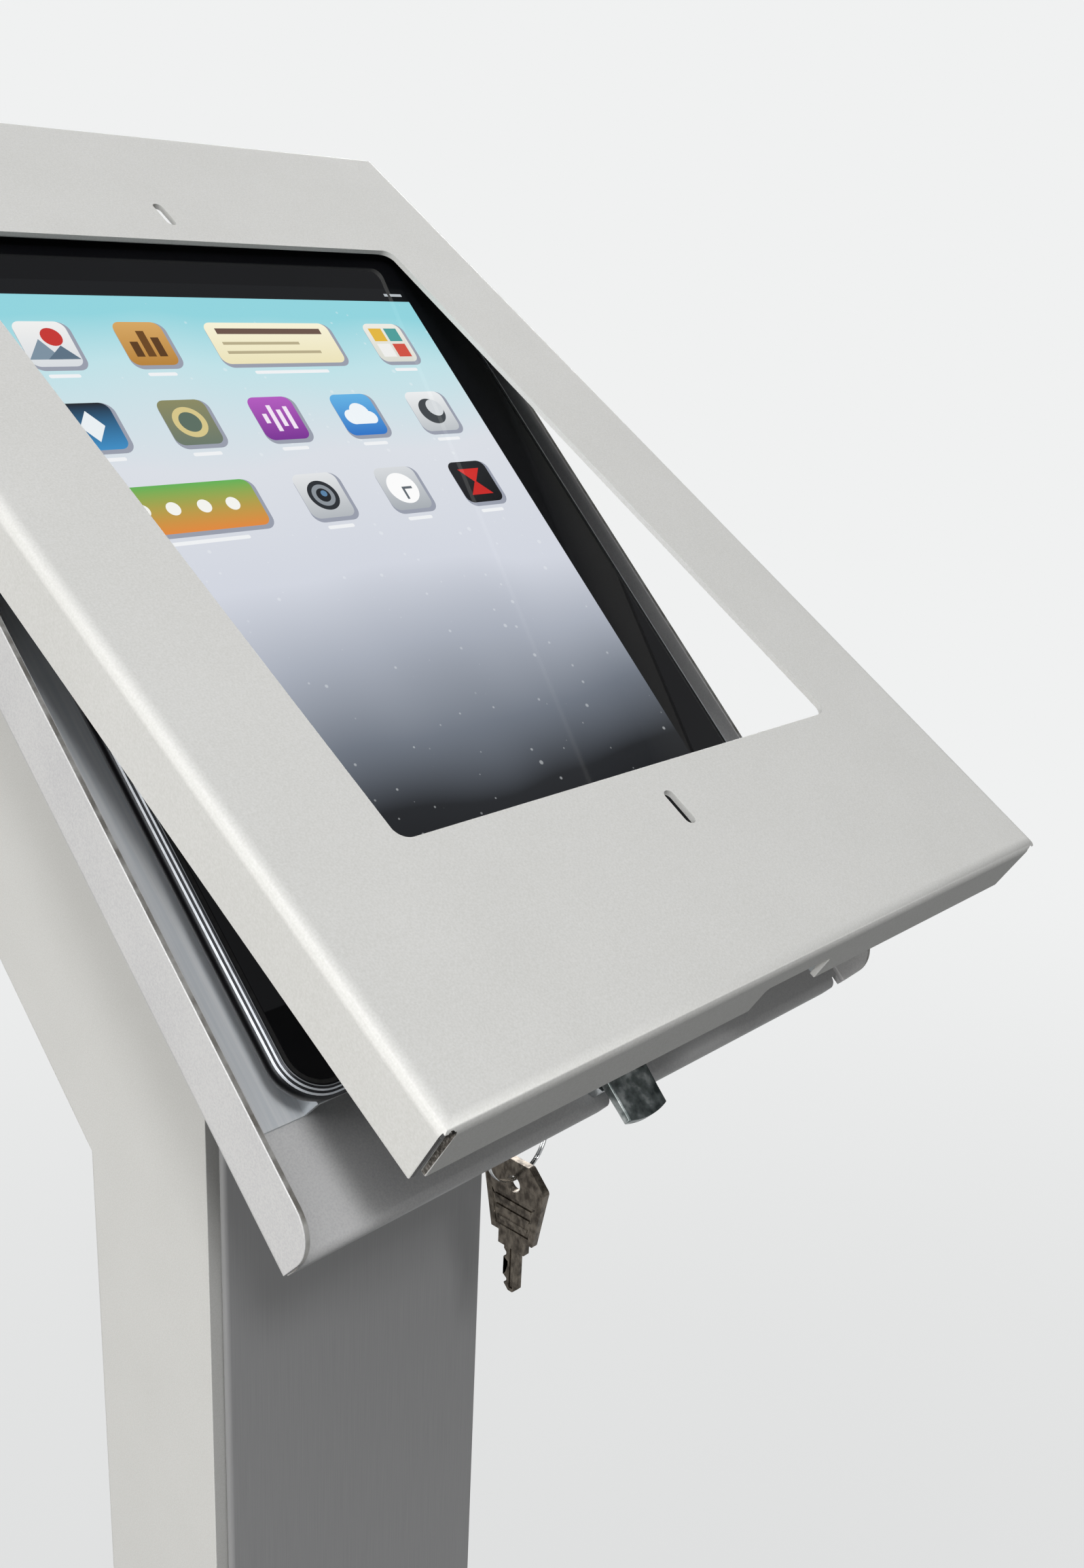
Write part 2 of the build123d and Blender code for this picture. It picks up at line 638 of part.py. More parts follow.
def make_cradle():
    half = CRADLE_W / 2
    foot_n = TRAY_SHEET
    cradle = span(-half, half, CRADLE_S0, CRADLE_S1, CRADLE_TOP_N - CRADLE_SHEET, CRADLE_TOP_N)
    for side in (-1, 1):
        x_out = side * half
        x_in = side * (half - CRADLE_SHEET)
        x_foot = side * (half + CRADLE_FOOT_W)
        cradle += span(min(x_out, x_in), max(x_out, x_in), CRADLE_S0, CRADLE_S1, foot_n, CRADLE_TOP_N)
        cradle += span(
            min(x_in, x_foot), max(x_in, x_foot), CRADLE_S0, CRADLE_S1, foot_n, foot_n + CRADLE_SHEET
        )
    cradle -= span(-CRADLE_SLOT_W / 2, CRADLE_SLOT_W / 2, CRADLE_SLOT_S0, CRADLE_SLOT_S1, 5, 20)
    for side in (-1, 1):
        for s in HEAD_BOLT_S:
            cradle -= rod(side * HEAD_BOLT_X, s, 5, 20, HEAD_BOLT_HEAD_R + 1)
    stop_s1 = TAB_BOTTOM_S - STOP_GAP
    stop_s0 = stop_s1 - CRADLE_SHEET
    for side in (-1, 1):
        x0 = side * STOP_X - STOP_W / 2
        x1 = side * STOP_X + STOP_W / 2
        low = CRADLE_TOP_N - CRADLE_SHEET
        cradle += span(x0, x1, stop_s0, CRADLE_S0, low, CRADLE_TOP_N)
        cradle += span(x0, x1, stop_s0, stop_s1, low, STOP_TOP_N)
    keep("tablet_cradle", in_tray(cradle))

    pads = []
    for side in (-1, 1):
        for s in (PAD_S0, (PAD_S0 + PAD_S1) / 2, PAD_S1):
            pads.append(in_tray(rod(side * PAD_X, s, CRADLE_TOP_N, TAB_BACK_N, PAD_R)))
    keep("cradle_pads", pads)


# Tablet


def tab_box(width_inset, n0, n1):
    """A rounded slab of the tablet, drawn in by an inset all round."""
    radius = max(TAB_CORNER_R - width_inset, 1.0)
    return rounded_plate(
        TAB_W - 2 * width_inset, TAB_L - 2 * width_inset, radius, n0, n1, TAB_BOTTOM_S + width_inset
    )


def make_tablet():
    top = TAB_GLASS_N
    back = TAB_BACK_N
    rim_low = top - TAB_EDGE_H
    rim = tab_box(0, rim_low, top)
    flare_top = Pos(0, TAB_BOTTOM_S + TAB_L / 2, rim_low) * RectangleRounded(TAB_W, TAB_L, TAB_CORNER_R)
    mid = TAB_BACK_INSET * 0.38
    flare_mid = Pos(0, TAB_BOTTOM_S + TAB_L / 2, back + TAB_EDGE_H * 0.9) * RectangleRounded(
        TAB_W - 2 * mid, TAB_L - 2 * mid, TAB_CORNER_R - mid * 0.5
    )
    flare_low = Pos(0, TAB_BOTTOM_S + TAB_L / 2, back) * RectangleRounded(
        TAB_W - 2 * TAB_BACK_INSET, TAB_L - 2 * TAB_BACK_INSET, TAB_CORNER_R - mid * 0.9
    )
    shell = rim + loft([flare_mid, flare_top], ruled=True) + loft([flare_low, flare_mid], ruled=True)
    shell = shell.clean()
    recess_n = top - GLASS_T - 0.2
    shell -= tab_box(GLASS_INSET, recess_n, top + 1)
    shell -= tab_box(TAB_BACK_INSET + 3, back + TAB_WALL_T, top + 1)
    home_s = TAB_BOTTOM_S + BEZEL_END / 2
    shell -= rod(0, home_s, recess_n - HOME_TRAVEL - 0.6, top + 1, HOME_R + 0.4)

    # keys in the top edge and the right edge
    key_n = rim_low + TAB_EDGE_H / 2 - 0.2
    edge_x = TAB_W / 2
    power_x = edge_x - POWER_IN
    power = span(
        power_x - POWER_L / 2, power_x + POWER_L / 2,
        TAB_TOP_S - 1.8, TAB_TOP_S + SIDE_KEY_PROUD, key_n - SIDE_KEY_H / 2, key_n + SIDE_KEY_H / 2,
    )
    power_hole = span(
        power_x - POWER_L / 2 - 0.3, power_x + POWER_L / 2 + 0.3,
        TAB_TOP_S - 1.8 - KEY_TRAVEL - 0.1, TAB_TOP_S + 2,
        key_n - SIDE_KEY_H / 2 - 0.25, key_n + SIDE_KEY_H / 2 + 0.25,
    )
    vol_s = TAB_TOP_S - VOLUME_FROM_TOP
    volume = span(
        edge_x - 1.8, edge_x + SIDE_KEY_PROUD,
        vol_s - VOLUME_L / 2, vol_s + VOLUME_L / 2, key_n - SIDE_KEY_H / 2, key_n + SIDE_KEY_H / 2,
    )
    volume_hole = span(
        edge_x - 1.8 - KEY_TRAVEL - 0.3, edge_x + 2,
        vol_s - VOLUME_L / 2 - 0.3, vol_s + VOLUME_L / 2 + 0.3,
        key_n - SIDE_KEY_H / 2 - 0.25, key_n + SIDE_KEY_H / 2 + 0.25,
    )
    keep("tablet_shell", in_tray(shell - power_hole - volume_hole))
    keep("power_button", in_tray(fillet(power.edges().filter_by(Axis.Y), 0.6)))
    keep("volume_rocker", in_tray(fillet(volume.edges().filter_by(Axis.X), 0.6)))

    gasket = tab_box(GLASS_INSET, recess_n, top - 0.25)
    gasket -= tab_box(GLASS_INSET + GASKET_W, recess_n - 1, top + 1)
    keep("tablet_gasket", in_tray(gasket))
    glass = tab_box(GLASS_INSET + GASKET_W, top - GLASS_T, top)
    glass -= rod(0, home_s, top - 5, top + 5, HOME_R + 0.15)
    keep("tablet_glass", in_tray(glass))
    home = rod(0, home_s, top - GLASS_T, top - 0.1, HOME_R)
    dish_r = HOME_R * HOME_R / (2 * HOME_DISH)
    home -= Pos(0, home_s, top - 0.1 - HOME_DISH + dish_r) * Sphere(dish_r)
    keep("home_button", in_tray(home))

    panel_top = top - GLASS_T
    panel_low = panel_top - SCREEN_PANEL_T
    screen_s1 = SCREEN_S0 + SCREEN_L
    panel = span(-SCREEN_W / 2 - 2, SCREEN_W / 2 + 2, SCREEN_S0 - 2, screen_s1 + 2, panel_low, panel_top)
    keep("tablet_screen", in_tray(panel))
    floor_n = back + TAB_WALL_T
    cell_w = (SCREEN_W - 2 * CELL_TO_BEZEL - 2 * CELL_GAP) / 3
    cells = []
    for i in (-1, 0, 1):
        x0 = i * (cell_w + CELL_GAP) - cell_w / 2
        cell = span(x0, x0 + cell_w, SCREEN_S0 + 6, screen_s1 - 69.1, floor_n, panel_low - SLIP)
        cells.append(in_tray(cell))
    keep("tablet_battery", cells)
    half_board = SCREEN_W / 2 - 4
    board = span(-half_board, half_board, screen_s1 - 61.1, screen_s1 - 11.1, floor_n, floor_n + 1.8)
    keep("tablet_board", in_tray(board))


# Cover, keeper and pivots


def make_cover():
    half = COVER_W / 2
    s0 = COVER_S0
    s1 = COVER_S1
    low = COVER_LOW_N
    outer = span(-half, half, s0, s1, low, COVER_OUT_N)
    outer = fillet(outer.faces().sort_by(Axis.Z)[-1].edges(), COVER_FOLD_R)
    inner = span(
        -half + COVER_T, half - COVER_T, s0 + COVER_T, s1 - COVER_T, low - 5, COVER_IN_N
    )
    inner = fillet(inner.faces().sort_by(Axis.Z)[-1].edges(), COVER_FOLD_R - COVER_T)
    cover = outer - inner

    # corners stay open: the side flanges run past the end flanges, with a round relief in the fold
    slit_top = COVER_OUT_N - 1.7
    for sx in (-1, 1):
        x_far = sx * (half + 1)
        x_inner = sx * (half - COVER_T)
        x_end = sx * (half - END_FLANGE_SHORT)
        for s_end, ds in ((s0, 1), (s1, -1)):
            s_far = s_end - ds
            s_side = s_end + ds * SIDE_FLANGE_SHORT
            s_inner = s_end + ds * (COVER_T + 0.1)
            cover -= span(
                min(x_far, x_end), max(x_far, x_end), min(s_far, s_side), max(s_far, s_side),
                low - 1, slit_top,
            )
            cover -= span(
                min(x_inner, x_end), max(x_inner, x_end), min(s_far, s_inner), max(s_far, s_inner),
                low - 1, slit_top,
            )
            relief = Pos(sx * (half - 2.0), s_end + ds * 1.2, COVER_OUT_N - 2.6) * Sphere(CORNER_RELIEF_R)
            cover -= relief

    window = rounded_plate(WINDOW_W, WINDOW_L, WINDOW_R, COVER_IN_N - 1, COVER_OUT_N + 1, WINDOW_S0)
    cover -= window
    for s in (WINDOW_S0 - SLOT_TO_WINDOW, WINDOW_S0 + WINDOW_L + SLOT_TO_WINDOW):
        slot = Pos(0, s, COVER_IN_N - 1) * Rot(0, 0, 90) * extrude(SlotOverall(SLOT_L, SLOT_W), amount=4)
        cover -= slot
    notch = span(NOTCH_X0, NOTCH_X1, s0 - 1, s0 + COVER_T + 1, low - 1, NOTCH_TOP_N)
    top_edges = [e for e in notch.edges().filter_by(Axis.Y) if e.center().Z > NOTCH_TOP_N - 0.1]
    cover -= fillet(top_edges, NOTCH_R)
    for side in (-1, 1):
        cover -= rod_x(side * half - 5, side * half + 5, PIVOT_S, PIVOT_N, PIVOT_R + PIVOT_CLEAR)
    keep("front_cover", in_cover(cover))

    # keeper: an angle welded inside the lower flange, for the cam to turn under
    flange_in = s0 + COVER_T
    keeper = span(KEEPER_X0, KEEPER_X1, flange_in, flange_in + KEEPER_REACH, low, low + KEEPER_T)
    keeper += span(KEEPER_X0, KEEPER_X1, flange_in, flange_in + KEEPER_T, low, low + KEEPER_LEG)
    tip_edges = [
        e for e in keeper.edges().filter_by(Axis.Z)
        if e.center().Y > flange_in + KEEPER_REACH - 0.1
    ]
    keep("lock_keeper", in_cover(fillet(tip_edges, 3.0)))


def make_pivots():
    screws = []
    washers = []
    nuts = []
    for side in (-1, 1):
        cover_out = COVER_W / 2
        cover_in = COVER_W / 2 - COVER_T
        tray_out = TRAY_W / 2
        tray_in = TRAY_W / 2 - TRAY_SHEET
        nut_end = tray_in - PIVOT_NUT_H
        head = rod_x(cover_out + SLIP, cover_out + SLIP + PIVOT_HEAD_H, PIVOT_S, PIVOT_N, PIVOT_HEAD_R)
        head = fillet(head.faces().sort_by(Axis.X)[-1].edges(), 1.0)
        shank = rod_x(nut_end - 0.5, cover_out + SLIP + 0.5, PIVOT_S, PIVOT_N, PIVOT_R)
        socket = Pos(cover_out + SLIP + PIVOT_HEAD_H - 1.3, PIVOT_S, PIVOT_N) * Rot(0, 90, 0) * extrude(
            RegularPolygon(1.9, 6), amount=3
        )
        washer = rod_x(tray_out + 0.05, cover_in - SLIP, PIVOT_S, PIVOT_N, PIVOT_WASHER_R)
        washer -= rod_x(tray_out - 1, cover_in + 1, PIVOT_S, PIVOT_N, PIVOT_R + PIVOT_CLEAR)
        nut = Pos(nut_end, PIVOT_S, PIVOT_N) * Rot(0, 90, 0) * extrude(
            RegularPolygon(PIVOT_NUT_AF / 2, 6, major_radius=False), amount=PIVOT_NUT_H
        )
        nut -= rod_x(nut_end - 1, tray_in + 1, PIVOT_S, PIVOT_N, PIVOT_R + 0.02)
        turn = Rot(0, 0, 0) if side > 0 else Pos(0, 2 * PIVOT_S, 0) * Rot(0, 0, 180)
        screws.append(in_tray(turn * (head + shank - socket)))
        washers.append(in_tray(turn * washer))
        nuts.append(in_tray(turn * nut))
    keep("pivot_screws", screws)
    keep("pivot_washers", washers)
    keep("pivot_nuts", nuts)


# Lock, keys and ring


def keyway(clear):
    """The slot that the key's blade fills, flat across X, with a wide mouth for its collar."""
    slot = span(
        -BLADE_T / 2 - clear, BLADE_T / 2 + clear,
        LOCK_S - BLADE_W / 2 - clear, LOCK_S + BLADE_W / 2 + clear,
        LOCK_FACE_N - 2, LOCK_FACE_N + BLADE_L + clear,
    )
    mouth = span(
        -BOW_T / 2 - clear, BOW_T / 2 + clear,
        LOCK_S - KEY_COLLAR_W / 2 - clear, LOCK_S + KEY_COLLAR_W / 2 + clear,
        LOCK_FACE_N - 2, LOCK_FACE_N + KEY_COLLAR_H + clear,
    )
    return slot + mouth


def make_lock():
    head_top = LOCK_FACE_N + LOCK_HEAD_H
    head = rod(0, LOCK_S, LOCK_FACE_N, head_top, LOCK_HEAD_R)
    head = chamfer(head.faces().sort_by(Axis.Z)[0].edges(), 0.8)
    body = head + rod(0, LOCK_S, head_top - 1, LOCK_TOP_N, LOCK_R)
    body -= rod(0, LOCK_S, LOCK_FACE_N - 1, LOCK_TOP_N + 1, PLUG_R + PLUG_CLEAR)
    keep("lock_body", in_tray(body))
    sleeve = rod(0, LOCK_S, head_top, 0, LOCK_HEAD_R - 0.8) - rod(0, LOCK_S, head_top - 1, 1, LOCK_R + 0.1)
    keep("lock_sleeve", in_tray(sleeve))
    nut = hex_bar(0, LOCK_S, TRAY_SHEET, TRAY_SHEET + LOCK_NUT_H, LOCK_NUT_AF, 0)
    nut = nut - rod(0, LOCK_S, 0, 10, LOCK_R + 0.02)
    keep("lock_nut", in_tray(nut))

    plug = rod(0, LOCK_S, LOCK_FACE_N + 0.3, CAM_N0 - 0.1, PLUG_R)
    square = span(
        -PLUG_SQUARE / 2, PLUG_SQUARE / 2, LOCK_S - PLUG_SQUARE / 2, LOCK_S + PLUG_SQUARE / 2,
        CAM_N0 - 0.5, CAM_N0 + CAM_T,
    )
    plug += square & rod(0, LOCK_S, CAM_N0 - 1, CAM_N0 + CAM_T, PLUG_R - 1.4)
    plug -= keyway(KEYWAY_CLEAR)
    plug -= rod(0, LOCK_S, CAM_N0 - 3, CAM_N0 + CAM_T + 1, CAM_SCREW_R + 0.02)
    keep("lock_plug", in_tray(plug))

    cam_top = CAM_N0 + CAM_T
    hub = rod(0, LOCK_S, CAM_N0, cam_top, CAM_HUB_R)
    arm = span(-CAM_W / 2, CAM_W / 2, LOCK_S - CAM_REACH, LOCK_S, CAM_N0, cam_top)
    arm &= rod(0, LOCK_S, CAM_N0, cam_top, CAM_REACH)
    cam = hub + arm
    hole = span(
        -PLUG_SQUARE / 2 - 0.02, PLUG_SQUARE / 2 + 0.02,
        LOCK_S - PLUG_SQUARE / 2 - 0.02, LOCK_S + PLUG_SQUARE / 2 + 0.02, CAM_N0 - 1, cam_top + 1,
    )
    cam -= hole & rod(0, LOCK_S, CAM_N0 - 1, cam_top + 1, PLUG_R - 1.38)
    keep("lock_cam", in_tray(cam))
    screw_head = rod(0, LOCK_S, cam_top, cam_top + CAM_SCREW_HEAD_H, CAM_SCREW_HEAD_R)
    screw_head = fillet(screw_head.faces().sort_by(Axis.Z)[-1].edges(), 1.0)
    screw = screw_head + rod(0, LOCK_S, CAM_N0 - 2.6, cam_top + 0.5, CAM_SCREW_R)
    for turn in (0, 90):
        cross = Rot(0, 0, turn) * Box(1.1, 5.4, 2.6)
        screw -= Pos(0, LOCK_S, cam_top + CAM_SCREW_HEAD_H) * cross
    keep("cam_screw", in_tray(screw))


def key_blank():
    """A flat key in the Y and Z plane, its bow's end at z = 0 and its blade down along -Z."""
    half = BOW_W / 2
    foot = BOW_FOOT_W / 2
    collar = KEY_COLLAR_W / 2
    down = BOW_H
    bow = slab(
        [
            (-half + BOW_CHAMFER, 0), (half - BOW_CHAMFER, 0), (half, -BOW_CHAMFER),
            (foot, -down), (-foot, -down), (-half, -BOW_CHAMFER),
        ],
        -BOW_T / 2, BOW_T / 2,
    )
    bow = fillet([e for e in bow.edges().filter_by(Axis.X) if e.center().Z > -down + 1], 1.6)
    bow -= rod_x(-5, 5, 0, -KEY_HOLE_DOWN, KEY_HOLE_R)
    neck = span(-BOW_T / 2, BOW_T / 2, -collar, collar, -down - KEY_COLLAR_H, -down + 0.5)
    tip = -down - BLADE_L
    blade = slab(
        [
            (-BLADE_W / 2, -down), (BLADE_W / 2, -down), (BLADE_W / 2, tip + 2),
            (BLADE_W / 2 - 2, tip), (-BLADE_W / 2 + 2, tip), (-BLADE_W / 2, tip + 2),
        ],
        -BLADE_T / 2, BLADE_T / 2,
    )
    return bow, neck, blade, tip


def cut_bits(blade, first_z, count, step, edge_y):
    """Files the key's cuts into one edge of its blade."""
    depths = (0.9, 1.5, 0.7, 1.3, 1.0)
    for i in range(count):
        z = first_z - i * step
        depth = depths[i % len(depths)]
        notch = slab(
            [
                (edge_y + 0.1, z + 1.4), (edge_y + 0.1, z - 1.4),
                (edge_y - depth, z - 0.5), (edge_y - depth, z + 0.5),
            ],
            -BOW_T, BOW_T,
        )
        blade -= notch
    return blade


def make_keys():
    bow, neck, blade, tip = key_blank()
    first = -BOW_H - KEY_COLLAR_H - 2.5
    cut = cut_bits(blade, first, 4, 2.7, BLADE_W / 2)

    # the key in the lock: its blade runs up into the plug, its bow hangs off the lock's face
    key = bow + neck + cut
    flip = Pos(0, LOCK_S, LOCK_FACE_N - BOW_H) * Rot(180, 0, 0)
    keep("key_in_lock", in_tray(flip * key))

    hole_y, hole_z = tray_to_world(LOCK_S, LOCK_FACE_N - BOW_H + KEY_HOLE_DOWN)
    hang = KEY_HOLE_R - RING_WIRE_R - RING_TOUCH
    ring_z = hole_z - hang - RING_R
    ring = Pos(0, hole_y, ring_z) * Rot(90, 0, 0) * Torus(RING_R, RING_WIRE_R)
    keep("key_ring", ring)
    spare_hole_z = ring_z - RING_R - hang
    keep("spare_key", Pos(0, hole_y, spare_hole_z + KEY_HOLE_DOWN) * key)


make_base()
make_foot_screws()
make_foot_plate()
make_post()
make_front_panel()
make_tray()
make_head_bolts()
make_cradle()
make_tablet()
make_cover()
make_pivots()
make_lock()
make_keys()

os.makedirs("parts", exist_ok=True)
for node, shape in PARTS.items():
    export_step(shape, f"parts/{node}.step")
print(len(PARTS), "nodes")
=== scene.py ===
"""The looks of a lockable tablet floor stand: finishes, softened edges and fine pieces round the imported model."""

import json
import math

import bmesh
import bpy
from bpy.props import FloatProperty, FloatVectorProperty, PointerProperty
from mathutils import Matrix, Vector

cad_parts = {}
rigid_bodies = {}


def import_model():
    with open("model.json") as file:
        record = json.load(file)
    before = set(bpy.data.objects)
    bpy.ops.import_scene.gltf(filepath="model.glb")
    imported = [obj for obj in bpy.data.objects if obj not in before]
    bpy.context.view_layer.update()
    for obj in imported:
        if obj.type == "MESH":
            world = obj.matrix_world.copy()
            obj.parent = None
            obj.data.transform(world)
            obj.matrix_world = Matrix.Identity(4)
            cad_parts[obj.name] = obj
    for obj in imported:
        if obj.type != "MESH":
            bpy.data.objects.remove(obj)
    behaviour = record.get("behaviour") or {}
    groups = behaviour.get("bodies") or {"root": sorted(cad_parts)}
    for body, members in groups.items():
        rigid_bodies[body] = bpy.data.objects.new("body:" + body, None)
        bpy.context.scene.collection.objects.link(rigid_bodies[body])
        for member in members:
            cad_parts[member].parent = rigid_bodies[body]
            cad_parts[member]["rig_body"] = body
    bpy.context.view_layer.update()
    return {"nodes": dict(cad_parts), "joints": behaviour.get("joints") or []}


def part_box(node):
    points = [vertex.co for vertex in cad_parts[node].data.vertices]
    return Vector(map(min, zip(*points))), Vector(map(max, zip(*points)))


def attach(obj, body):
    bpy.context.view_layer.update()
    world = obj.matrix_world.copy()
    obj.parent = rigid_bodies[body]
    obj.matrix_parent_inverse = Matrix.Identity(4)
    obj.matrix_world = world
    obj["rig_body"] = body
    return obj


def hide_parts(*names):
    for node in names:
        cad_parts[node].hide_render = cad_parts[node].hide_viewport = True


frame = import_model()

bl_info = {
    "name": "Tablet floor stand",
    "version": (1, 0, 0),
    "blender": (4, 5, 0),
    "location": "View3D > Sidebar > Stand",
    "description": "Finishes and fine pieces of a lockable tablet floor stand",
    "category": "Object",
}

MM = 0.001
JOINTS = {joint["name"]: joint for joint in frame["joints"]}

# The tray's slope, read from the lock, whose axis is square to the tray's floor
ACROSS = Vector((1, 0, 0))
OFF_FLOOR = Vector(JOINTS["lock_turn"]["axis"])
UP_SLOPE = OFF_FLOOR.cross(ACROSS)
LOCK_S = 14.0
TRAY_CORNER = Vector(JOINTS["lock_turn"]["pos_m"]) - LOCK_S * MM * UP_SLOPE

# The tablet, in millimetres: its outline, its glass, the lit part of its screen with the dark line along its top, and
# how thick the plates drawn on the screen are and how far apart their levels
TABLET_S = 26.0
TABLET_W = 185.7
TABLET_L = 241.2
TABLET_R = 11.0
GLASS_N = 19.4
SCREEN_N = 19.42
SCREEN_W = 147.8
SCREEN_S0 = 48.05
SCREEN_S1 = 245.15
STATUS_H = 5.0
PLATE_T = 0.01
PLATE_STEP = 0.02
HOME_S = 37.025

# Where the sheets' bare cuts are, in metres from the middle: the middle of the tray's side flanges and the ends of
# its lip, and the ends of the cover's upper and lower flanges
TRAY_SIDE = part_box("tray")[1].x
COVER_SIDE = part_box("front_cover")[1].x
FLANGE_MIDDLE = TRAY_SIDE - 0.75 * MM
LIP_END = TRAY_SIDE - 4.7 * MM
FLANGE_END = COVER_SIDE - 3.2 * MM
NEARBY = 0.5 * MM

# A face's normal has at least this much of X where the face looks sideways, and at most that much where it doesn't
SIDEWAYS = 0.9
UPRIGHT = 0.1

# Up the open cover's own slope: it is shut at the hinge's lower limit
HINGE = JOINTS["cover_hinge"]
COVER_UP = Matrix.Rotation(math.radians(-HINGE["range_deg"][0]), 3, Vector(HINGE["axis"])) @ UP_SLOPE

# How a CAD mesh is read: points this close are one, faces this near to flat are one, and edges that turn more than
# this are rounded
WELD = 0.002 * MM
FLAT = math.radians(0.6)
SHARP = math.radians(30)

# The photograph's camera
CAMERA_PLACE = (-0.26643, -0.33817, 1.15296)
CAMERA_TURN = (71.777, -2.506, -46.993)
CAMERA_LENS = 36.11


def linear(code):
    """An sRGB hex value as a linear colour with alpha."""
    channels = [int(code[i:i + 2], 16) / 255 for i in (0, 2, 4)]
    return (*[c / 12.92 if c <= 0.04045 else ((c + 0.055) / 1.055) ** 2.4 for c in channels], 1.0)


def on_tray(x, s, n):
    """A point on the tray's slope, in millimetres: across, up the slope and off the floor."""
    return TRAY_CORNER + MM * (x * ACROSS + s * UP_SLOPE + n * OFF_FLOOR)


def depth_first(n, x, s):
    """A point on the tray's slope, with how far it is off the floor named first, as prism wants it."""
    return on_tray(x, s, n)


def looks():
    """The sizes and colours that a user sets in the sidebar."""
    return bpy.context.scene.stand_looks


# Materials


def add(tree, kind, inputs=None, stops=None, **settings):
    """Adds a node. An input that is a node's socket is linked, any other is set, and stops are a ramp's colours."""
    node = tree.nodes.new(kind)
    for key, value in settings.items():
        setattr(node, key, value)
    for socket, value in (inputs or {}).items():
        if isinstance(value, bpy.types.NodeSocket):
            tree.links.new(value, node.inputs[socket])
        else:
            node.inputs[socket].default_value = value
    for index, (place, colour) in enumerate(stops or []):
        elements = node.color_ramp.elements
        element = elements[index] if index < 2 else elements.new(1.0)
        element.position = place
        element.color = colour
    return node


def begin(name):
    """A new material, its tree and the place of its surface in metres."""
    material = bpy.data.materials.new(name)
    material.use_nodes = True
    tree = material.node_tree
    tree.nodes.clear()
    return material, tree, add(tree, "ShaderNodeTexCoord").outputs["Object"]


def powder_coat(name, pale, deep, metallic, rough, clouding):
    """Powder coat with aluminium flakes, sprayed and baked: an even satin grey over a faint orange peel, whose
    flakes glint where a fold turns. The flakes are drawn some six times their real size, or none would show."""
    material, tree, place = begin(name)
    flakes = add(tree, "ShaderNodeTexNoise", {"Vector": place, "Scale": 1 / (0.45 * MM), "Detail": 1.0}).outputs[0]
    cloud = add(tree, "ShaderNodeTexNoise", {"Vector": place, "Scale": 1 / (24 * MM), "Detail": 3.0}).outputs[0]
    both = add(tree, "ShaderNodeMath", {0: cloud, 1: clouding, 2: flakes}, operation="MULTIPLY_ADD").outputs[0]
    colour = add(tree, "ShaderNodeValToRGB", {"Fac": both},
                 [(0.3 + 0.35 * clouding, deep), (0.7 + 0.65 * clouding, pale)]).outputs[0]
    gloss = add(tree, "ShaderNodeMapRange", {"Value": flakes, "To Min": rough + 0.08, "To Max": rough - 0.08})
    peel = add(tree, "ShaderNodeTexNoise", {"Vector": place, "Scale": 1 / (2.2 * MM), "Detail": 1.0}).outputs[0]
    skin = add(tree, "ShaderNodeBump", {"Height": peel, "Distance": 0.006 * MM}).outputs[0]
    relief = add(tree, "ShaderNodeBump", {"Height": flakes, "Distance": 0.008 * MM, "Normal": skin}).outputs[0]
    shader = add(tree, "ShaderNodeBsdfPrincipled", {
        "Base Color": colour, "Metallic": metallic, "Roughness": gloss.outputs[0], "Normal": relief,
        "Specular IOR Level": 0.18})
    add(tree, "ShaderNodeOutputMaterial", {"Surface": shader.outputs[0]})
    return material


def grained(name, size, stops, rough, depth, stretch=(1, 1, 1), detail=3.0, **fixed):
    """A finish whose colour, gloss and relief follow one grain of a size in millimetres."""
    material, tree, place = begin(name)
    pulled = add(tree, "ShaderNodeMapping", {"Vector": place, "Scale": stretch}).outputs[0]
    grain = add(tree, "ShaderNodeTexNoise", {"Vector": pulled, "Scale": 1 / (size * MM), "Detail": detail}).outputs[0]
    colour = add(tree, "ShaderNodeValToRGB", {"Fac": grain}, [(at, linear(code)) for at, code in stops])
    gloss = add(tree, "ShaderNodeMapRange", {"Value": grain, "To Min": rough[0], "To Max": rough[1]})
    relief = add(tree, "ShaderNodeBump", {"Height": grain, "Distance": depth * MM})
    inputs = {"Base Color": colour.outputs[0], "Roughness": gloss.outputs[0], "Normal": relief.outputs[0]}
    inputs.update({key.replace("_", " "): value for key, value in fixed.items()})
    shader = add(tree, "ShaderNodeBsdfPrincipled", inputs)
    add(tree, "ShaderNodeOutputMaterial", {"Surface": shader.outputs[0]})
    return material


def cover_coat():
    """The cover's warm silver coat."""
    return powder_coat("powder_coat_warm_silver", (*looks().cover_colour, 1), linear("C6C6C3"), 0.06, 0.5, 0.3)


def tray_coat():
    """The tray's cooler and shinier coat, clouded by handling."""
    return powder_coat("powder_coat_cool_silver", (*looks().tray_colour, 1), linear("BCBCBE"), 0.1, 0.42, 0.7)


def post_coat():
    """The rear channel's pale silver coat."""
    return powder_coat("powder_coat_pale_silver", (*looks().post_colour, 1), linear("C8C8C5"), 0.06, 0.5, 0.3)


def base_coat():
    """Graphite coat on the base plate."""
    return powder_coat("powder_coat_graphite", linear("727375"), linear("5E5F61"), 0.3, 0.46, 0.4)


def graphite_sheet():
    """Anodised aluminium sheet, brushed up and down: dark, with fine upright lines and a soft sheen. The lines are
    drawn four times their real width."""
    return grained("brushed_anodised_graphite", 0.4, [(0.3, "929293"), (0.7, "979798")], (0.46, 0.38), 0.0015,
                   (1, 1, 0.015), Metallic=0.4)


def groove_shade_primer():
    """Dark primer, rolled on thin: flat, and near black, a colour that paints the shade in the groove between the panel
    and the channel.
    """
    return grained("rolled_primer_painted_groove_shade", 0.8, [(0.3, "3A3A3B"), (0.7, "474748")], (0.7, 0.6), 0.004)


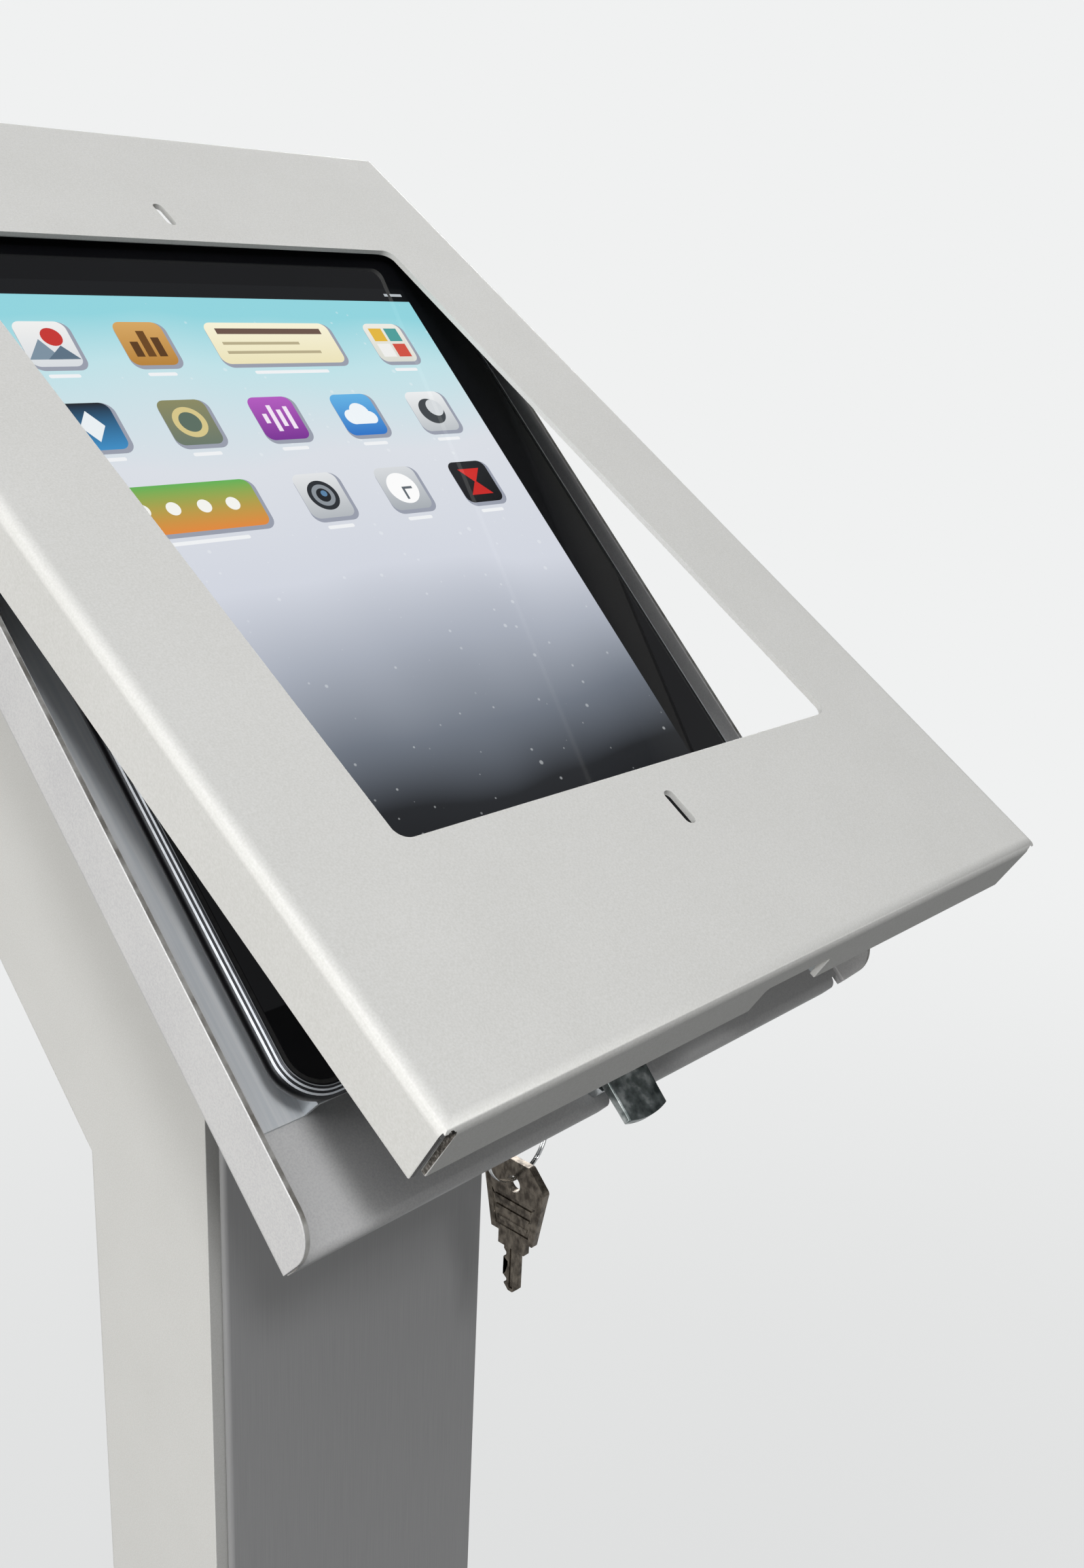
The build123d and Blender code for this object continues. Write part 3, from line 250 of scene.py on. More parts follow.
def bare_edge():
    """Steel sheet as the shear left it, dusted with overspray: a torn, speckled edge of bright and dull spots."""
    return grained("sheared_steel_edge", 0.6, [(0.3, "34302D"), (0.5, "67625C"), (0.68, "A39E98")], (0.55, 0.35), 0.03,
                   Metallic=0.6)


def oxide_and_slit_shade():
    """Steel sheet as the laser left it: an oxide skin, painted near black as the shade in the open corner's slit."""
    return grained("laser_oxide_painted_slit_shade", 0.8, [(0.3, "242323"), (0.7, "3B3937")], (0.55, 0.4), 0.01, Metallic=0.5)


def laser_cut_edge():
    """Steel sheet as the laser left it: a narrow soft shine with light and dull patches along it."""
    return grained("laser_cut_edge", 4.0, [(0.35, "827F7A"), (0.65, "B6B5B2")], (0.32, 0.44), 0.02, Metallic=0.5)


def zinc_plate():
    """Bright zinc plate: a bluish mirror with a faint haze."""
    return grained("bright_zinc_plate", 3.0, [(0.3, "B0B5B9"), (0.7, "D0D3D4")], (0.36, 0.2), 0.003, Metallic=1.0)


def cast_zinc():
    """Zinc, die cast and tumbled: mottled from near black to bright where hands and the keeper rubbed it."""
    return grained("die_cast_tumbled_zinc", 4.0, [(0.32, "454C4C"), (0.5, "7C8383"), (0.66, "C2C7C7")], (0.24, 0.44),
                   0.05, detail=5.0, Metallic=1.0)


def rolled_steel():
    """Cold rolled steel: dull, with long rolling lines."""
    return grained("cold_rolled_steel", 1.5, [(0.3, "85878A"), (0.7, "9DA0A3")], (0.45, 0.3), 0.004, (1, 0.1, 1),
                   Metallic=1.0)


def nickel_plate():
    """Brass with worn nickel plate: a warm dark shine with brighter rubbed spots."""
    return grained("nickel_plated_brass", 1.6, [(0.35, "4A443E"), (0.65, "7C746A")], (0.34, 0.2), 0.008, (1, 1, 0.6),
                   Metallic=1.0)


def ring_wire():
    """Spring wire with nickel plate: a thin mirror."""
    return grained("nickel_plated_spring_wire", 0.8, [(0.3, "C9CBCC"), (0.7, "DFE1E2")], (0.18, 0.1), 0.002,
                   Metallic=1.0)


def galvanised_sheet():
    """Steel sheet galvanised in a line: a pale bluish satin with long faint streaks up the slope."""
    return grained("line_galvanised_sheet", 1.1, [(0.35, "DADFE4"), (0.65, "E8EBEE")], (0.42, 0.32), 0.003,
                   (1, 0.02, 0.02), Metallic=0.3)


def moulded_rubber():
    """Moulded black rubber: soft and dull with a fine skin."""
    return grained("moulded_black_rubber", 1.2, [(0.3, "181818"), (0.7, "272727")], (0.78, 0.62), 0.01)


def turned_nylon():
    """Turned natural nylon: milky and slightly see-through."""
    return grained("turned_natural_nylon", 0.8, [(0.3, "D3D1C8"), (0.7, "E2E0D7")], (0.5, 0.38), 0.004,
                   Subsurface_Weight=0.1, Subsurface_Scale=0.002)


def shell_painted_shade():
    """Anodised aluminium, bead blasted: an even satin, painted dark as the shade along the tablet's curved back. The
    blast is drawn five times its real size.
    """
    return grained("blasted_anodised_aluminium_painted_shade", 0.3, [(0.3, "222326"), (0.7, "2F3033")], (0.38, 0.28), 0.002,
                   Metallic=0.85)


def rim_painted_highlight():
    """Aluminium cut with a diamond: thin bright strips round the glass, with a real polished shine and a pale colour
    that paints its highlight.
    """
    return grained("diamond_cut_aluminium_painted_highlight", 2.0, [(0.3, "B8BCC2"), (0.7, "CACED4")], (0.36, 0.28), 0.001, Metallic=0.6)


def black_glass():
    """Glass with black printed on its back: a deep black under a clear mirror, faintly smeared."""
    return grained("black_backed_glass", 35.0, [(0.3, "07070A"), (0.7, "0B0B0E")], (0.05, 0.02), 0.0, IOR=1.5)


def foil_pouch():
    """Laminated foil pouch: dark, soft and wrinkled."""
    return grained("laminated_foil", 6.0, [(0.3, "2C2D30"), (0.7, "44464A")], (0.5, 0.3), 0.08, Metallic=0.6)


def circuit_board():
    """Glass fibre and epoxy board under green solder mask: traces show as darker lines."""
    return grained("solder_masked_board", 1.6, [(0.4, "12301F"), (0.6, "1F4C34")], (0.5, 0.35), 0.03, (1, 0.3, 1))


def lit_screen():
    """A lit panel under flat glass: light from behind, the same all over, and the glass's clear mirror over it.
    Aqua falls through pale lavender and slate to near black at its lower end, under a thin scatter of small pale dots."""
    material, tree, place = begin("lit_screen_under_glass")
    slope = add(tree, "ShaderNodeVectorMath", {0: place, 1: tuple(UP_SLOPE)}, operation="DOT_PRODUCT").outputs[1]
    up = add(tree, "ShaderNodeMapRange", {
        "Value": slope, "From Min": on_tray(0, SCREEN_S0, GLASS_N).dot(UP_SLOPE),
        "From Max": on_tray(0, SCREEN_S1, GLASS_N).dot(UP_SLOPE)}).outputs[0]
    cloud = add(tree, "ShaderNodeTexNoise", {"Vector": place, "Scale": 1 / (60 * MM), "Detail": 1.0}).outputs[0]
    bent = add(tree, "ShaderNodeMath", {0: cloud, 1: 0.12, 2: up}, operation="MULTIPLY_ADD").outputs[0]
    ground = add(tree, "ShaderNodeValToRGB", {"Fac": bent}, [(at, linear(code)) for at, code in (
        (0.1, "141415"), (0.21, "25272A"), (0.32, "727984"), (0.44, "ACB2BE"), (0.57, "D6DAE4"), (0.76, "DFE3EA"),
        (0.9, "C4E6EC"), (1.02, "94D8E2"))]).outputs[0]
    cells = add(tree, "ShaderNodeTexVoronoi", {"Vector": place, "Scale": 1 / (3.9 * MM)}).outputs
    odds = add(tree, "ShaderNodeSeparateXYZ", {0: cells["Color"]}).outputs
    reach = add(tree, "ShaderNodeMath", {0: odds[0], 1: 3.0}, operation="POWER").outputs[0]
    grown = add(tree, "ShaderNodeMath", {0: reach, 1: 0.16, 2: 0.03}, operation="MULTIPLY_ADD").outputs[0]
    inside = add(tree, "ShaderNodeMath", {0: grown, 1: cells["Distance"]}, operation="SUBTRACT").outputs[0]
    dot = add(tree, "ShaderNodeMapRange", {
        "Value": inside, "From Min": -0.02, "From Max": 0.04, "To Max": 0.3}).outputs[0]
    dotted = add(tree, "ShaderNodeMix", {0: dot, 6: ground, 7: linear("F4F8FA")}, data_type="RGBA").outputs[2]
    shader = add(tree, "ShaderNodeBsdfPrincipled", {
        "Base Color": linear("08080A"), "Roughness": 0.06, "Specular IOR Level": 0.25, "Emission Color": dotted,
        "Emission Strength": 0.95})
    add(tree, "ShaderNodeOutputMaterial", {"Surface": shader.outputs[0]})
    return material


def lit_tiles():
    """The lit panel's tiles: the same light and glass, in the mesh's own colours."""
    material, tree, _ = begin("lit_tiles_under_glass")
    colour = add(tree, "ShaderNodeVertexColor", layer_name="tile_colour").outputs[0]
    shader = add(tree, "ShaderNodeBsdfPrincipled", {
        "Base Color": linear("08080A"), "Roughness": 0.03, "IOR": 1.5, "Emission Color": colour,
        "Emission Strength": 0.95})
    add(tree, "ShaderNodeOutputMaterial", {"Surface": shader.outputs[0]})
    return material


FINISHES = {}


def finish(make):
    """A finish, made on its first use."""
    if make.__name__ not in FINISHES:
        FINISHES[make.__name__] = make()
    return FINISHES[make.__name__]


# Meshes


def place_piece(name, mesh, makes, body, nodes=(), smooth=35):
    """Puts a finished mesh in the scene as a piece that rides on a body."""
    for make in makes:
        mesh.materials.append(finish(make))
    for face in mesh.polygons:
        face.use_smooth = True
    mesh.set_sharp_from_angle(angle=math.radians(smooth))
    piece = bpy.data.objects.new(name, mesh)
    bpy.context.collection.objects.link(piece)
    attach(piece, body)
    if nodes:
        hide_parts(*nodes)
    return piece


def as_mesh(bm, name):
    """A mesh with its faces turned outward."""
    bmesh.ops.recalc_face_normals(bm, faces=bm.faces)
    mesh = bpy.data.meshes.new(name)
    bm.to_mesh(mesh)
    bm.free()
    return mesh


def join_triangles(bm):
    """Welds a mesh's points and joins its triangles back into flat faces."""
    bmesh.ops.remove_doubles(bm, verts=bm.verts, dist=WELD)
    bmesh.ops.dissolve_limit(bm, angle_limit=FLAT, verts=bm.verts, edges=bm.edges)


def node_faces(node):
    """A node's mesh with its triangles joined back into flat faces."""
    bm = bmesh.new()
    bm.from_mesh(frame["nodes"][node].data)
    join_triangles(bm)
    return bm


def round_edges(bm, width):
    """Rounds every sharp edge by a width in metres, except those too short to hold the round."""
    shortest = 2.4 * width
    sharp = [e for e in bm.edges if len(e.link_faces) == 2 and e.calc_face_angle() > SHARP
             and e.calc_length() > shortest]
    bmesh.ops.bevel(bm, geom=sharp, offset=width, segments=2, profile=0.5, affect="EDGES", clamp_overlap=False)
    bmesh.ops.dissolve_degenerate(bm, edges=bm.edges, dist=WELD)


def soften(node, name, make, width, cuts=(), cutters=()):
    """A copy of a node with its edges rounded by a width in metres. cuts pairs a finish with a test of a face."""
    bm = node_faces(node)
    for index, (_, where) in enumerate(cuts):
        for face in bm.faces:
            if where(face):
                face.material_index = index + 1
    round_edges(bm, width)
    mesh = as_mesh(bm, name)
    if cutters:
        mesh = carve(mesh, cutters)
    makes = [make] + [cut[0] for cut in cuts]
    piece = place_piece(name, mesh, makes, frame["nodes"][node]["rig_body"], [node])
    piece.modifiers.new("even_faces", "WEIGHTED_NORMAL").keep_sharp = True
    return piece


def carve(mesh, cutters):
    """Cuts closed meshes out of a mesh."""
    stock = bpy.data.objects.new("stock", mesh)
    bpy.context.collection.objects.link(stock)
    tools = []
    for cutter in cutters:
        tool = bpy.data.objects.new("tool", cutter)
        bpy.context.collection.objects.link(tool)
        tools.append(tool)
        cut = stock.modifiers.new("cut", "BOOLEAN")
        cut.solver = "EXACT"
        cut.object = tool
    graph = bpy.context.evaluated_depsgraph_get()
    carved = bpy.data.meshes.new_from_object(stock.evaluated_get(graph))
    for spent in [stock] + tools:
        bpy.data.objects.remove(spent)
    return carved


def prism(outline, low, high, place):
    """A closed block from an outline in two directions, between two depths. place turns the three into a point."""
    bm = bmesh.new()
    floor = [bm.verts.new(place(low, *point)) for point in outline]
    roof = [bm.verts.new(place(high, *point)) for point in outline]
    bm.faces.new(floor)
    bm.faces.new(roof)
    for i in range(len(outline)):
        j = (i + 1) % len(outline)
        bm.faces.new((floor[i], floor[j], roof[j], roof[i]))
    return as_mesh(bm, "block")


def circle(radius, count=40, x=0.0, y=0.0):
    """Points round a circle."""
    turns = [2 * math.pi * i / count for i in range(count)]
    return [(x + radius * math.cos(t), y + radius * math.sin(t)) for t in turns]


def bar(x0, y0, x1, y1):
    """The corners of an upright rectangle."""
    return [(x0, y0), (x1, y0), (x1, y1), (x0, y1)]


def rounded(width, length, radius, steps=8):
    """Points round a rectangle with round corners, centred on nought."""
    points = []
    for quarter, (sx, sy) in enumerate(((1, 1), (-1, 1), (-1, -1), (1, -1))):
        for step in range(steps + 1):
            angle = math.radians(90 * (quarter + step / steps))
            points.append((sx * (width / 2 - radius) + radius * math.cos(angle),
                           sy * (length / 2 - radius) + radius * math.sin(angle)))
    return points


def paint(make, *nodes):
    """Gives CAD nodes whose shape is right a better finish."""
    for node in nodes:
        slots = frame["nodes"][node].data.materials
        slots.clear()
        slots.append(finish(make))


# The stage

FLOOR_RADIUS = 40

# The lamps: name, place, the point they face, size in metres, power in watts and colour
LAMPS = (
    ("key_lamp", (-1.1, -1.6, 2.52), (0, -0.05, 1.05), (0.22, 0.22), 26, "FFFFFF"),
    ("front_softbox", (-1.2, -1.0, 2.9), (0, -0.05, 1.05), (1.4, 1.4), 23, "FFFFFF"),
    ("left_softbox", (-2.4, -0.05, 1.3), (0, 0, 1.05), (1.5, 1.5), 35, "FFFDF9"),
    ("top_softbox", (-0.2, 0.6, 3.2), (0, 0, 1.0), (1.6, 1.6), 8, "FFFFFF"),
    ("rear_softbox", (2.1, 1.9, 1.9), (0, 0, 1.0), (1.6, 1.6), 60, "FFFFFF"),
)


def make_camera():
    """The photograph's camera."""
    data = bpy.data.cameras.new("photo_camera")
    data.lens = CAMERA_LENS
    data.sensor_width = 36
    data.clip_start = 0.01
    data.clip_end = 80
    camera = bpy.data.objects.new("photo_camera", data)
    camera.location = CAMERA_PLACE
    camera.rotation_euler = [math.radians(a) for a in CAMERA_TURN]
    bpy.context.collection.objects.link(camera)
    bpy.context.scene.camera = camera


def make_lamp(name, place, aim, size, power, colour):
    """A softbox that faces a point."""
    data = bpy.data.lights.new(name, "AREA")
    data.shape = "RECTANGLE"
    data.size, data.size_y = size
    data.energy = power
    data.color = linear(colour)[:3]
    lamp = bpy.data.objects.new(name, data)
    lamp.location = place
    lamp.rotation_euler = (Vector(aim) - Vector(place)).to_track_quat("-Z", "Y").to_euler()
    lamp.visible_camera = False
    bpy.context.collection.objects.link(lamp)


def make_world():
    """An even fill for matt surfaces, a room that dims upward for shiny ones, and a plain pale backdrop."""
    world = bpy.data.worlds.new("studio")
    bpy.context.scene.world = world
    world.use_nodes = True
    tree = world.node_tree
    tree.nodes.clear()
    rays = add(tree, "ShaderNodeLightPath").outputs
    way = add(tree, "ShaderNodeTexCoord").outputs["Generated"]
    toward = add(tree, "ShaderNodeVectorMath", {0: way, 1: (-0.9, -0.1, 0.42)}, operation="DOT_PRODUCT").outputs[1]
    share = add(tree, "ShaderNodeMapRange", {
        "Value": toward, "From Min": -0.5, "To Min": 0.07, "To Max": 0.3}).outputs[0]
    fill = add(tree, "ShaderNodeBackground", {"Strength": share, "Color": linear("FFFFFF")})
    height = add(tree, "ShaderNodeSeparateXYZ", {0: way}).outputs[2]
    up = add(tree, "ShaderNodeMath", {0: height}, operation="ABSOLUTE").outputs[0]
    walls = add(tree, "ShaderNodeValToRGB", {"Fac": up}, [(0.1, linear("EDEEEE")), (0.7, linear("8C8E90"))]).outputs[0]
    side = add(tree, "ShaderNodeMapRange", {"Value": toward, "From Min": -1, "To Min": 0.5}).outputs[0]
    room = add(tree, "ShaderNodeBackground", {"Color": walls, "Strength": side})
    back = add(tree, "ShaderNodeBackground", {"Color": linear("F0F1F1")})
    shiny = add(tree, "ShaderNodeMath", {0: rays["Is Glossy Ray"], 1: rays["Is Transmission Ray"]},
                operation="MAXIMUM").outputs[0]
    lit = add(tree, "ShaderNodeMixShader", {0: shiny, 1: fill.outputs[0], 2: room.outputs[0]}).outputs[0]
    seen = add(tree, "ShaderNodeMixShader", {0: rays["Is Camera Ray"], 1: lit, 2: back.outputs[0]}).outputs[0]
    add(tree, "ShaderNodeOutputWorld", {"Surface": seen})


def floor_paint():
    """Floor paint, rolled: pale and matt, and the same pale as the backdrop except where a shadow lies."""
    material, tree, place = begin("rolled_pale_floor_paint")
    cloud = add(tree, "ShaderNodeTexNoise", {"Vector": place, "Scale": 1.4}).outputs[0]
    colour = add(tree, "ShaderNodeValToRGB", {"Fac": cloud}, [(0.3, linear("A6A7A7")), (0.7, linear("ABACAC"))])
    rays = add(tree, "ShaderNodeLightPath").outputs
    tone = add(tree, "ShaderNodeMix", {0: rays["Is Diffuse Ray"], 6: colour.outputs[0], 7: linear("5C5D5D")},
               data_type="RGBA").outputs[2]
    matt = add(tree, "ShaderNodeBsdfDiffuse", {"Color": tone}).outputs[0]
    glow = add(tree, "ShaderNodeEmission", {"Color": linear("F0F1F1")}).outputs[0]
    away = add(tree, "ShaderNodeVectorMath", {0: place}, operation="LENGTH").outputs[1]
    fade = add(tree, "ShaderNodeMapRange", {"Value": away, "From Min": 0.3, "From Max": 3.0, "To Min": 0.7},
               interpolation_type="SMOOTHSTEP").outputs[0]
    seen = add(tree, "ShaderNodeMath", {0: rays["Is Camera Ray"], 1: fade}, operation="MULTIPLY").outputs[0]
    mirrored = add(tree, "ShaderNodeMath", {0: rays["Is Glossy Ray"], 1: 0.4}, operation="MULTIPLY").outputs[0]
    share = add(tree, "ShaderNodeMath", {0: seen, 1: mirrored}, operation="MAXIMUM").outputs[0]
    mixed = add(tree, "ShaderNodeMixShader", {0: share, 1: matt, 2: glow}).outputs[0]
    add(tree, "ShaderNodeOutputMaterial", {"Surface": mixed})
    return material


class STAND_OT_stage(bpy.types.Operator):
    """Sets the camera, the lamps, the backdrop and the floor"""
    bl_idname = "stand.stage"
    bl_label = "Stage"

    def execute(self, context):
        context.scene.view_settings.view_transform = "Standard"
        make_camera()
        make_world()
        for lamp in LAMPS:
            make_lamp(*lamp)
        bm = bmesh.new()
        bmesh.ops.create_circle(bm, cap_ends=True, segments=128, radius=FLOOR_RADIUS)
        mesh = as_mesh(bm, "floor")
        mesh.materials.append(finish(floor_paint))
        floor = bpy.data.objects.new("floor", mesh)
        context.collection.objects.link(floor)
        return {"FINISHED"}


# The stand


class STAND_OT_base(bpy.types.Operator):
    """Finishes the base plate, its feet and the plate in the post's foot"""
    bl_idname = "stand.base"
    bl_label = "Base"

    def execute(self, context):
        soften("base_plate", "base_sheet", base_coat, 0.4 * MM)
        paint(moulded_rubber, "base_feet")
        paint(rolled_steel, "foot_plate")
        return {"FINISHED"}


def post_faces():
    """The channel and its neck in one, since the weld between them is ground flush and coated over."""
    bm = bmesh.new()
    for node in ("post_channel", "post_neck"):
        bm.from_mesh(frame["nodes"][node].data)
    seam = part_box("post_neck")[0][2]
    caps = [f for f in bm.faces if all(abs(v.co.z - seam) < 0.01 * MM for v in f.verts)]
    bmesh.ops.delete(bm, geom=caps, context="FACES")
    join_triangles(bm)
    return bm


class STAND_OT_post(bpy.types.Operator):
    """Finishes the rear channel, the front panel, their rail and the grommets"""
    bl_idname = "stand.post"
    bl_label = "Post"

    def execute(self, context):
        bm = post_faces()
        round_edges(bm, looks().edge_round)
        sheet = place_piece("post_sheet", as_mesh(bm, "post_sheet"), [post_coat], "root",
                            ["post_channel", "post_neck"])
        sheet.modifiers.new("even_faces", "WEIGHTED_NORMAL").keep_sharp = True
        soften("front_panel", "front_sheet", graphite_sheet, looks().edge_round)
        # The rail's near black primer is painted shade for the groove.
        paint(groove_shade_primer, "panel_rail")
        paint(moulded_rubber, "post_grommet", "tray_grommet")
        return {"FINISHED"}


def cut_on_tray(face):
    """Whether a face is the rim of a side flange or an end of the lip, where the cut is bare."""
    side = abs(face.calc_center_median().x)
    rim = abs(face.normal.x) < UPRIGHT and side > FLANGE_MIDDLE - 0.6 * MM
    end = abs(face.normal.x) > SIDEWAYS and abs(side - LIP_END) < NEARBY
    return rim or end


class STAND_OT_tray(bpy.types.Operator):
    """Finishes the tray and the cradle"""
    bl_idname = "stand.tray"
    bl_label = "Tray"

    def execute(self, context):
        soften("tray", "tray_sheet", tray_coat, looks().edge_round,
               [(laser_cut_edge, cut_on_tray)])
        soften("tablet_cradle", "cradle_sheet", galvanised_sheet, 0.08 * MM)
        paint(moulded_rubber, "cradle_pads")
        return {"FINISHED"}


class STAND_OT_hardware(bpy.types.Operator):
    """Finishes the screws, bolts, nuts and washers"""
    bl_idname = "stand.hardware"
    bl_label = "Hardware"

    def execute(self, context):
        for node in ("head_bolts", "head_nuts", "panel_screws", "base_screws", "pivot_screws", "pivot_nuts"):
            soften(node, node + "_plated", zinc_plate, 0.15 * MM)
        paint(zinc_plate, "head_washers")
        paint(turned_nylon, "pivot_washers")
        return {"FINISHED"}


# The tablet's edge from its back to its floor: how far in, how far off the tray, and the finish of the face after.
# 0 is the shell, painted dark as shade, and 1 the rim, painted pale as highlight; the rim's strips alternate with dark
# ones to paint a double line of highlights.
SHELL_PROFILE = [
    (9.0, 10.6, 0), (5.6, 11.0, 0), (3.4, 11.6, 0), (1.9, 12.6, 0), (0.9, 13.8, 0), (0.25, 15.3, 0), (0.0, 16.4, 0),
    (0.0, 17.2, 0), (0.06, 17.5, 0), (0.3, 17.95, 0), (0.42, 18.1, 1), (0.68, 18.4, 1), (0.76, 18.44, 0),
    (1.1, 18.7, 0), (1.2, 18.8, 1), (1.42, 19.05, 1), (1.5, 19.1, 0), (1.75, 19.36, 0), (1.9, 19.4, 1),
    (2.15, 19.4, 0), (2.5, 19.34, 0), (2.6, 19.1, 0), (2.6, 18.3, 0), (12.0, 18.3, 0), (12.0, 11.8, 0),
]


def tablet_shell_mesh():
    """The tablet's shell, swept round its outline."""
    bm = bmesh.new()
    middle = TABLET_S + TABLET_L / 2
    rings = []
    for inset, n, _ in SHELL_PROFILE:
        outline = rounded(TABLET_W - 2 * inset, TABLET_L - 2 * inset, max(TABLET_R - inset, 0.6), 14)
        rings.append([bm.verts.new(on_tray(x, middle + s, n)) for x, s in outline])
    count = len(rings[0])
    for (_, _, kind), low, high in zip(SHELL_PROFILE, rings, rings[1:]):
        for i in range(count):
            j = (i + 1) % count
            face = bm.faces.new((low[i], low[j], high[j], high[i]))
            face.material_index = kind
    bm.faces.new(rings[0])
    bm.faces.new(rings[-1])
    return as_mesh(bm, "tablet_case")


def tablet_wells():
    """What is cut from the shell for the home button, the power key and the volume rocker."""
    home = prism(circle(5.8, 48, 0, HOME_S), 17.3, 21, depth_first)
    power = prism(bar(66.2, 265, 77.8, 269), 17.0, 18.95, depth_first)
    volume = prism(bar(90.45, 214.9, 95, 235.5), 17.0, 18.95, depth_first)
    return [home, power, volume]


# The screen's tiles: place across and up the slope, width, the ground's upper and lower colour, and the marks on
# it. A mark is its colour and its outline in millimetres from the tile's middle.
TILE = 14.5
WIDE = 42.5
TILES = [
    (-56, 224, TILE, "F4F4F2", "DCE0E4", [("C8352F", circle(2.9, 24, 2.0, 2.2)),
                                          ("7F93A3", [(-7, -5), (-2, 1.5), (2, -5)]),
                                          ("5D7284", [(-2, -5), (3.2, -0.6), (7, -5)])]),
    (-28, 224, TILE, "D9A963", "B98336", [("5B3A16", bar(-4.6, -4.4, -2.2, 0.6)), ("6B4519", bar(-1.2, -4.4, 1.2, 4.2)),
                                          ("5B3A16", bar(2.2, -4.4, 4.6, 2.0))]),
    (14, 224, WIDE, "FBF6DC", "EFE6BD", [("6B5348", bar(-18, 3.2, 18, 5.2)), ("B9AE8C", bar(-18, -0.6, 8, 0.4)),
                                         ("B9AE8C", bar(-18, -3.8, 14, -2.8))]),
    (56, 224, TILE, "F1EFE6", "DCDDD4", [("E5B93F", bar(-5.4, 0.5, -0.5, 5.4)), ("4E9F9B", bar(0.5, 0.5, 5.4, 5.4)),
                                         ("D2503F", bar(0.5, -5.4, 5.4, -0.5)),
                                         ("F2F2F0", bar(-5.4, -5.4, -0.5, -0.5))]),
    (-56, 198, TILE, "1A1B1E", "3E8FC7", [("EDF3F6", [(0, -4.8), (3.4, 0), (0, 4.8), (-3.4, 0)])]),
    (-28, 198, TILE, "8C8B63", "6C7A6C", [("D9C98C", circle(4.9)), ("5C6F62", circle(3.2))]),
    (0, 198, TILE, "B65CC2", "7A2F95", [("F6EAF8", bar(-4.6, -1.6, -3.2, 1.6)), ("F6EAF8", bar(-2.0, -4.4, -0.6, 4.4)),
                                        ("F6EAF8", bar(0.6, -2.8, 2.0, 2.8)), ("F6EAF8", bar(3.2, -3.8, 4.6, 3.8))]),
    (28, 198, TILE, "64B5E8", "2A73C9", [("F2F8FC", circle(2.6, 24, -2.6, -0.8)), ("F2F8FC", circle(3.4, 24, 0.8, 0.6)),
                                         ("F2F8FC", circle(2.2, 24, 3.8, -1.2)),
                                         ("F2F8FC", bar(-2.8, -3.4, 4.0, -1.4))]),
    (56, 198, TILE, "EFF1F2", "BFC4C8", [("3F4448", circle(4.6)), ("D7DBDE", circle(3.0, 32, 1.7, 1.2))]),
    (-42, 172, WIDE, "63B457", "E58A3C", [("F7F7F2", circle(2.0, 24, -13, 0)), ("F7F7F2", circle(2.0, 24, -4.5, 0)),
                                          ("F7F7F2", circle(2.0, 24, 4.5, 0)), ("F7F7F2", circle(2.0, 24, 13, 0))]),
    (0, 172, TILE, "E6E8EA", "B5BABF", [("262A2F", circle(4.8)), ("8D949B", circle(3.5)), ("1B1E22", circle(2.2)),
                                        ("5C84A8", circle(1.0, 20, 0.4, 0.5))]),
    (28, 172, TILE, "DADDE0", "A9AFB5", [("FFFFFF", circle(5.2)),
                                         ("5F676F", [(-0.4, -3.8), (0.4, -3.8), (0.4, 0.4), (-0.4, 0.4)]),
                                         ("5F676F", bar(-0.4, -0.4, 3.2, 0.4))]),
    (56, 172, TILE, "202124", "0F1012", [("D22A24", [(-4.2, 4.6), (4.2, 4.6), (0.3, 0), (-0.3, 0)]),
                                         ("C9241F", [(-0.3, 0), (0.3, 0), (4.2, -4.6), (-4.2, -4.6)])]),
]


class TileSheet:
    """A mesh of thin coloured plates that lie just above the screen."""

    def __init__(self):
        self.bm = bmesh.new()
        self.colours = self.bm.loops.layers.float_color.new("tile_colour")

    def lay(self, x, s, outline, level, upper, lower=None):
        """Lays an outline round a place, at a level off the screen, shaded from its upper to its lower colour."""
        low = min(point[1] for point in outline)
        high = max(point[1] for point in outline)
        upper = Vector(linear(upper))
        lower = Vector(linear(lower)) if lower else upper
        off = SCREEN_N + PLATE_T + PLATE_STEP * level
        rim = [self.bm.verts.new(on_tray(x + px, s + py, off)) for px, py in outline]
        foot = [self.bm.verts.new(on_tray(x + px, s + py, off - PLATE_T)) for px, py in outline]
        shades = [lower.lerp(upper, (py - low) / (high - low)) for _, py in outline]
        cx = sum(p[0] for p in outline) / len(outline)
        cy = sum(p[1] for p in outline) / len(outline)
        hub = self.bm.verts.new(on_tray(x + cx, s + cy, off))
        shade_at = dict(zip(rim + foot, shades + shades))
        shade_at[hub] = lower.lerp(upper, (cy - low) / (high - low))
        faces = [self.bm.faces.new(foot)]
        for i in range(len(rim)):
            j = (i + 1) % len(rim)
            faces.append(self.bm.faces.new((hub, rim[i], rim[j])))
            faces.append(self.bm.faces.new((rim[i], foot[i], foot[j], rim[j])))
        for face in faces:
            for loop in face.loops:
                loop[self.colours] = shade_at[loop.vert]


